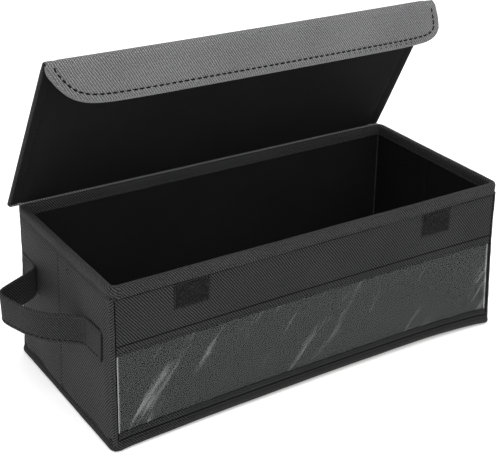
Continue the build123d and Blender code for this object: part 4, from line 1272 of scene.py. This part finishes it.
# hook patches inside the flap
def hook_patch(name, side_x):
    half = math.radians((180 - FLAP_FOLD) / 2)
    shut = HINGE_Z + (math.hypot(FOLD_G, AR) - AR) * (math.cos(half) - math.sin(half))
    h0, h1 = shut - 121.6, shut - 100.0          # distance from where the lid and flap planes meet
    nu, nv = 40, 30
    X, Fd = np.meshgrid(np.linspace(side_x - 15, side_x + 15, nu), np.linspace(h0, h1, nv), indexing="ij")
    p = FOLD + Fd[..., None] * DF
    p[..., 0] = X
    p[..., 2] -= lid_sag(X)
    ob = slab(name, p + NF * 2.05, p + NF * 1.62, np.stack([X, Fd], -1), M_HOOK, steps=1)
    fix_normals(ob)
    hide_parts(name)
    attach(ob, "flap")
    # moulded hooks in rows
    verts, faces = [], []
    for r_ in range(15):
        for c_ in range(19):
            bx_ = side_x - 13.2 + c_ * 1.467
            bf = h0 + 1.5 + r_ * 1.33
            b0 = FOLD + bf * DF
            b0 = np.array([bx_, b0[1], b0[2] - float(lid_sag(np.array(bx_)))]) + NF * 2.0
            lean_ = 0.16 if (r_ % 2) else -0.16
            i0 = len(verts)
            for k, (rise, wd, off) in enumerate(((0.0, 0.2, 0.0), (0.28, 0.15, 0.0), (0.45, 0.17, lean_), (0.5, 0.1, lean_ * 2.1))):
                for dx, df in ((-1, -1), (1, -1), (1, 1), (-1, 1)):
                    verts.append(b0 + NF * rise + np.array([dx * wd, 0, 0]) + DF * (df * wd + off))
            for k in range(3):
                for q in range(4):
                    q2 = (q + 1) % 4
                    faces.append((i0 + k * 4 + q, i0 + k * 4 + q2, i0 + (k + 1) * 4 + q2, i0 + (k + 1) * 4 + q))
            faces.append((i0 + 3, i0 + 2, i0 + 1, i0))
            faces.append((i0 + 12, i0 + 13, i0 + 14, i0 + 15))
    hk = make(name + "_hooks", verts, faces, None, M_HOOK)
    fix_normals(hk)
    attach(hk, "flap")


hook_patch("hook_patch_left", -113.0)
hook_patch("hook_patch_right", 113.0)

# ============================================================ carried-over CAD nodes
for nm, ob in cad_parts.items():
    if ob.hide_render:
        continue
    ob.data.materials.clear()
    if "board" in nm:
        ob.data.materials.append(M_BOARD)
    else:
        ob.data.materials.append(M_HOOK)
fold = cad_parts["flap_fold_strip"]

# the fold's own core: the strip between the cover and the lining, left as the fold's inner cloth
fx = np.linspace(LID_X0 + 2.0, LID_X1 - 2.0, 80)
fa = np.linspace(math.radians(42), math.radians(FLAP_FOLD - 42), 14)
FX, FA = np.meshgrid(fx, fa, indexing="ij")
ca, sa = np.cos(ARC_0 + FA), np.sin(ARC_0 + FA)
po = np.stack([FX, ARC_C[1] + (AR + 0.12) * ca, ARC_C[2] + (AR + 0.12) * sa], -1)
pi_ = np.stack([FX, ARC_C[1] + (AR - 0.12) * ca, ARC_C[2] + (AR - 0.12) * sa], -1)
for q in (po, pi_):
    q[..., 2] -= lid_sag(FX)
core = slab("flap_fold_strip", po, pi_, np.stack([FX, FA * AR], -1), M_LINING, steps=1)
fix_normals(core)
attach(core, "fold_strip")
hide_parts("flap_fold_strip")

# ============================================================ stage and light
fl = bpy.data.meshes.new("floor")
nf = 3.0
fl.from_pydata([(-nf, -nf, -0.0004), (nf, -nf, -0.0004), (nf, nf, -0.0004), (-nf, nf, -0.0004)], [], [(0, 1, 2, 3)])
floor = bpy.data.objects.new("floor", fl)
bpy.context.scene.collection.objects.link(floor)
mf, ntf, shf = nodes_of("floor")
shf.inputs["Base Color"].default_value = (0.93, 0.93, 0.93, 1)
shf.inputs["Roughness"].default_value = 0.9
shf.inputs["Emission Color"].default_value = (1, 1, 1, 1)
shf.inputs["Emission Strength"].default_value = 0.25
fl.materials.append(mf)

world = bpy.data.worlds.new("studio")
bpy.context.scene.world = world
world.use_nodes = True
bg = world.node_tree.nodes["Background"]
bg.inputs[0].default_value = (1, 1, 1, 1)
bg.inputs[1].default_value = 0.95


def area_light(name, loc, target, size, power):
    d = bpy.data.lights.new(name, "AREA")
    d.shape = "RECTANGLE"
    d.size, d.size_y = size
    d.energy = power
    ob = bpy.data.objects.new(name, d)
    bpy.context.scene.collection.objects.link(ob)
    ob.location = loc
    ob.rotation_euler = (Vector(target) - Vector(loc)).to_track_quat("-Z", "Y").to_euler()
    return ob


area_light("key", (-0.7, -1.3, 1.7), (0, 0, 0.15), (1.0, 1.0), 16.0)
area_light("top", (0.3, -0.2, 2.0), (0, 0, 0.1), (1.6, 1.2), 12.0)
area_light("window_strip", (1.5, -1.6, 0.6), (0, -0.08, 0.05), (0.25, 1.1), 7.0)

bpy.context.scene.view_settings.view_transform = "Standard"
bpy.context.scene.view_settings.look = "None"
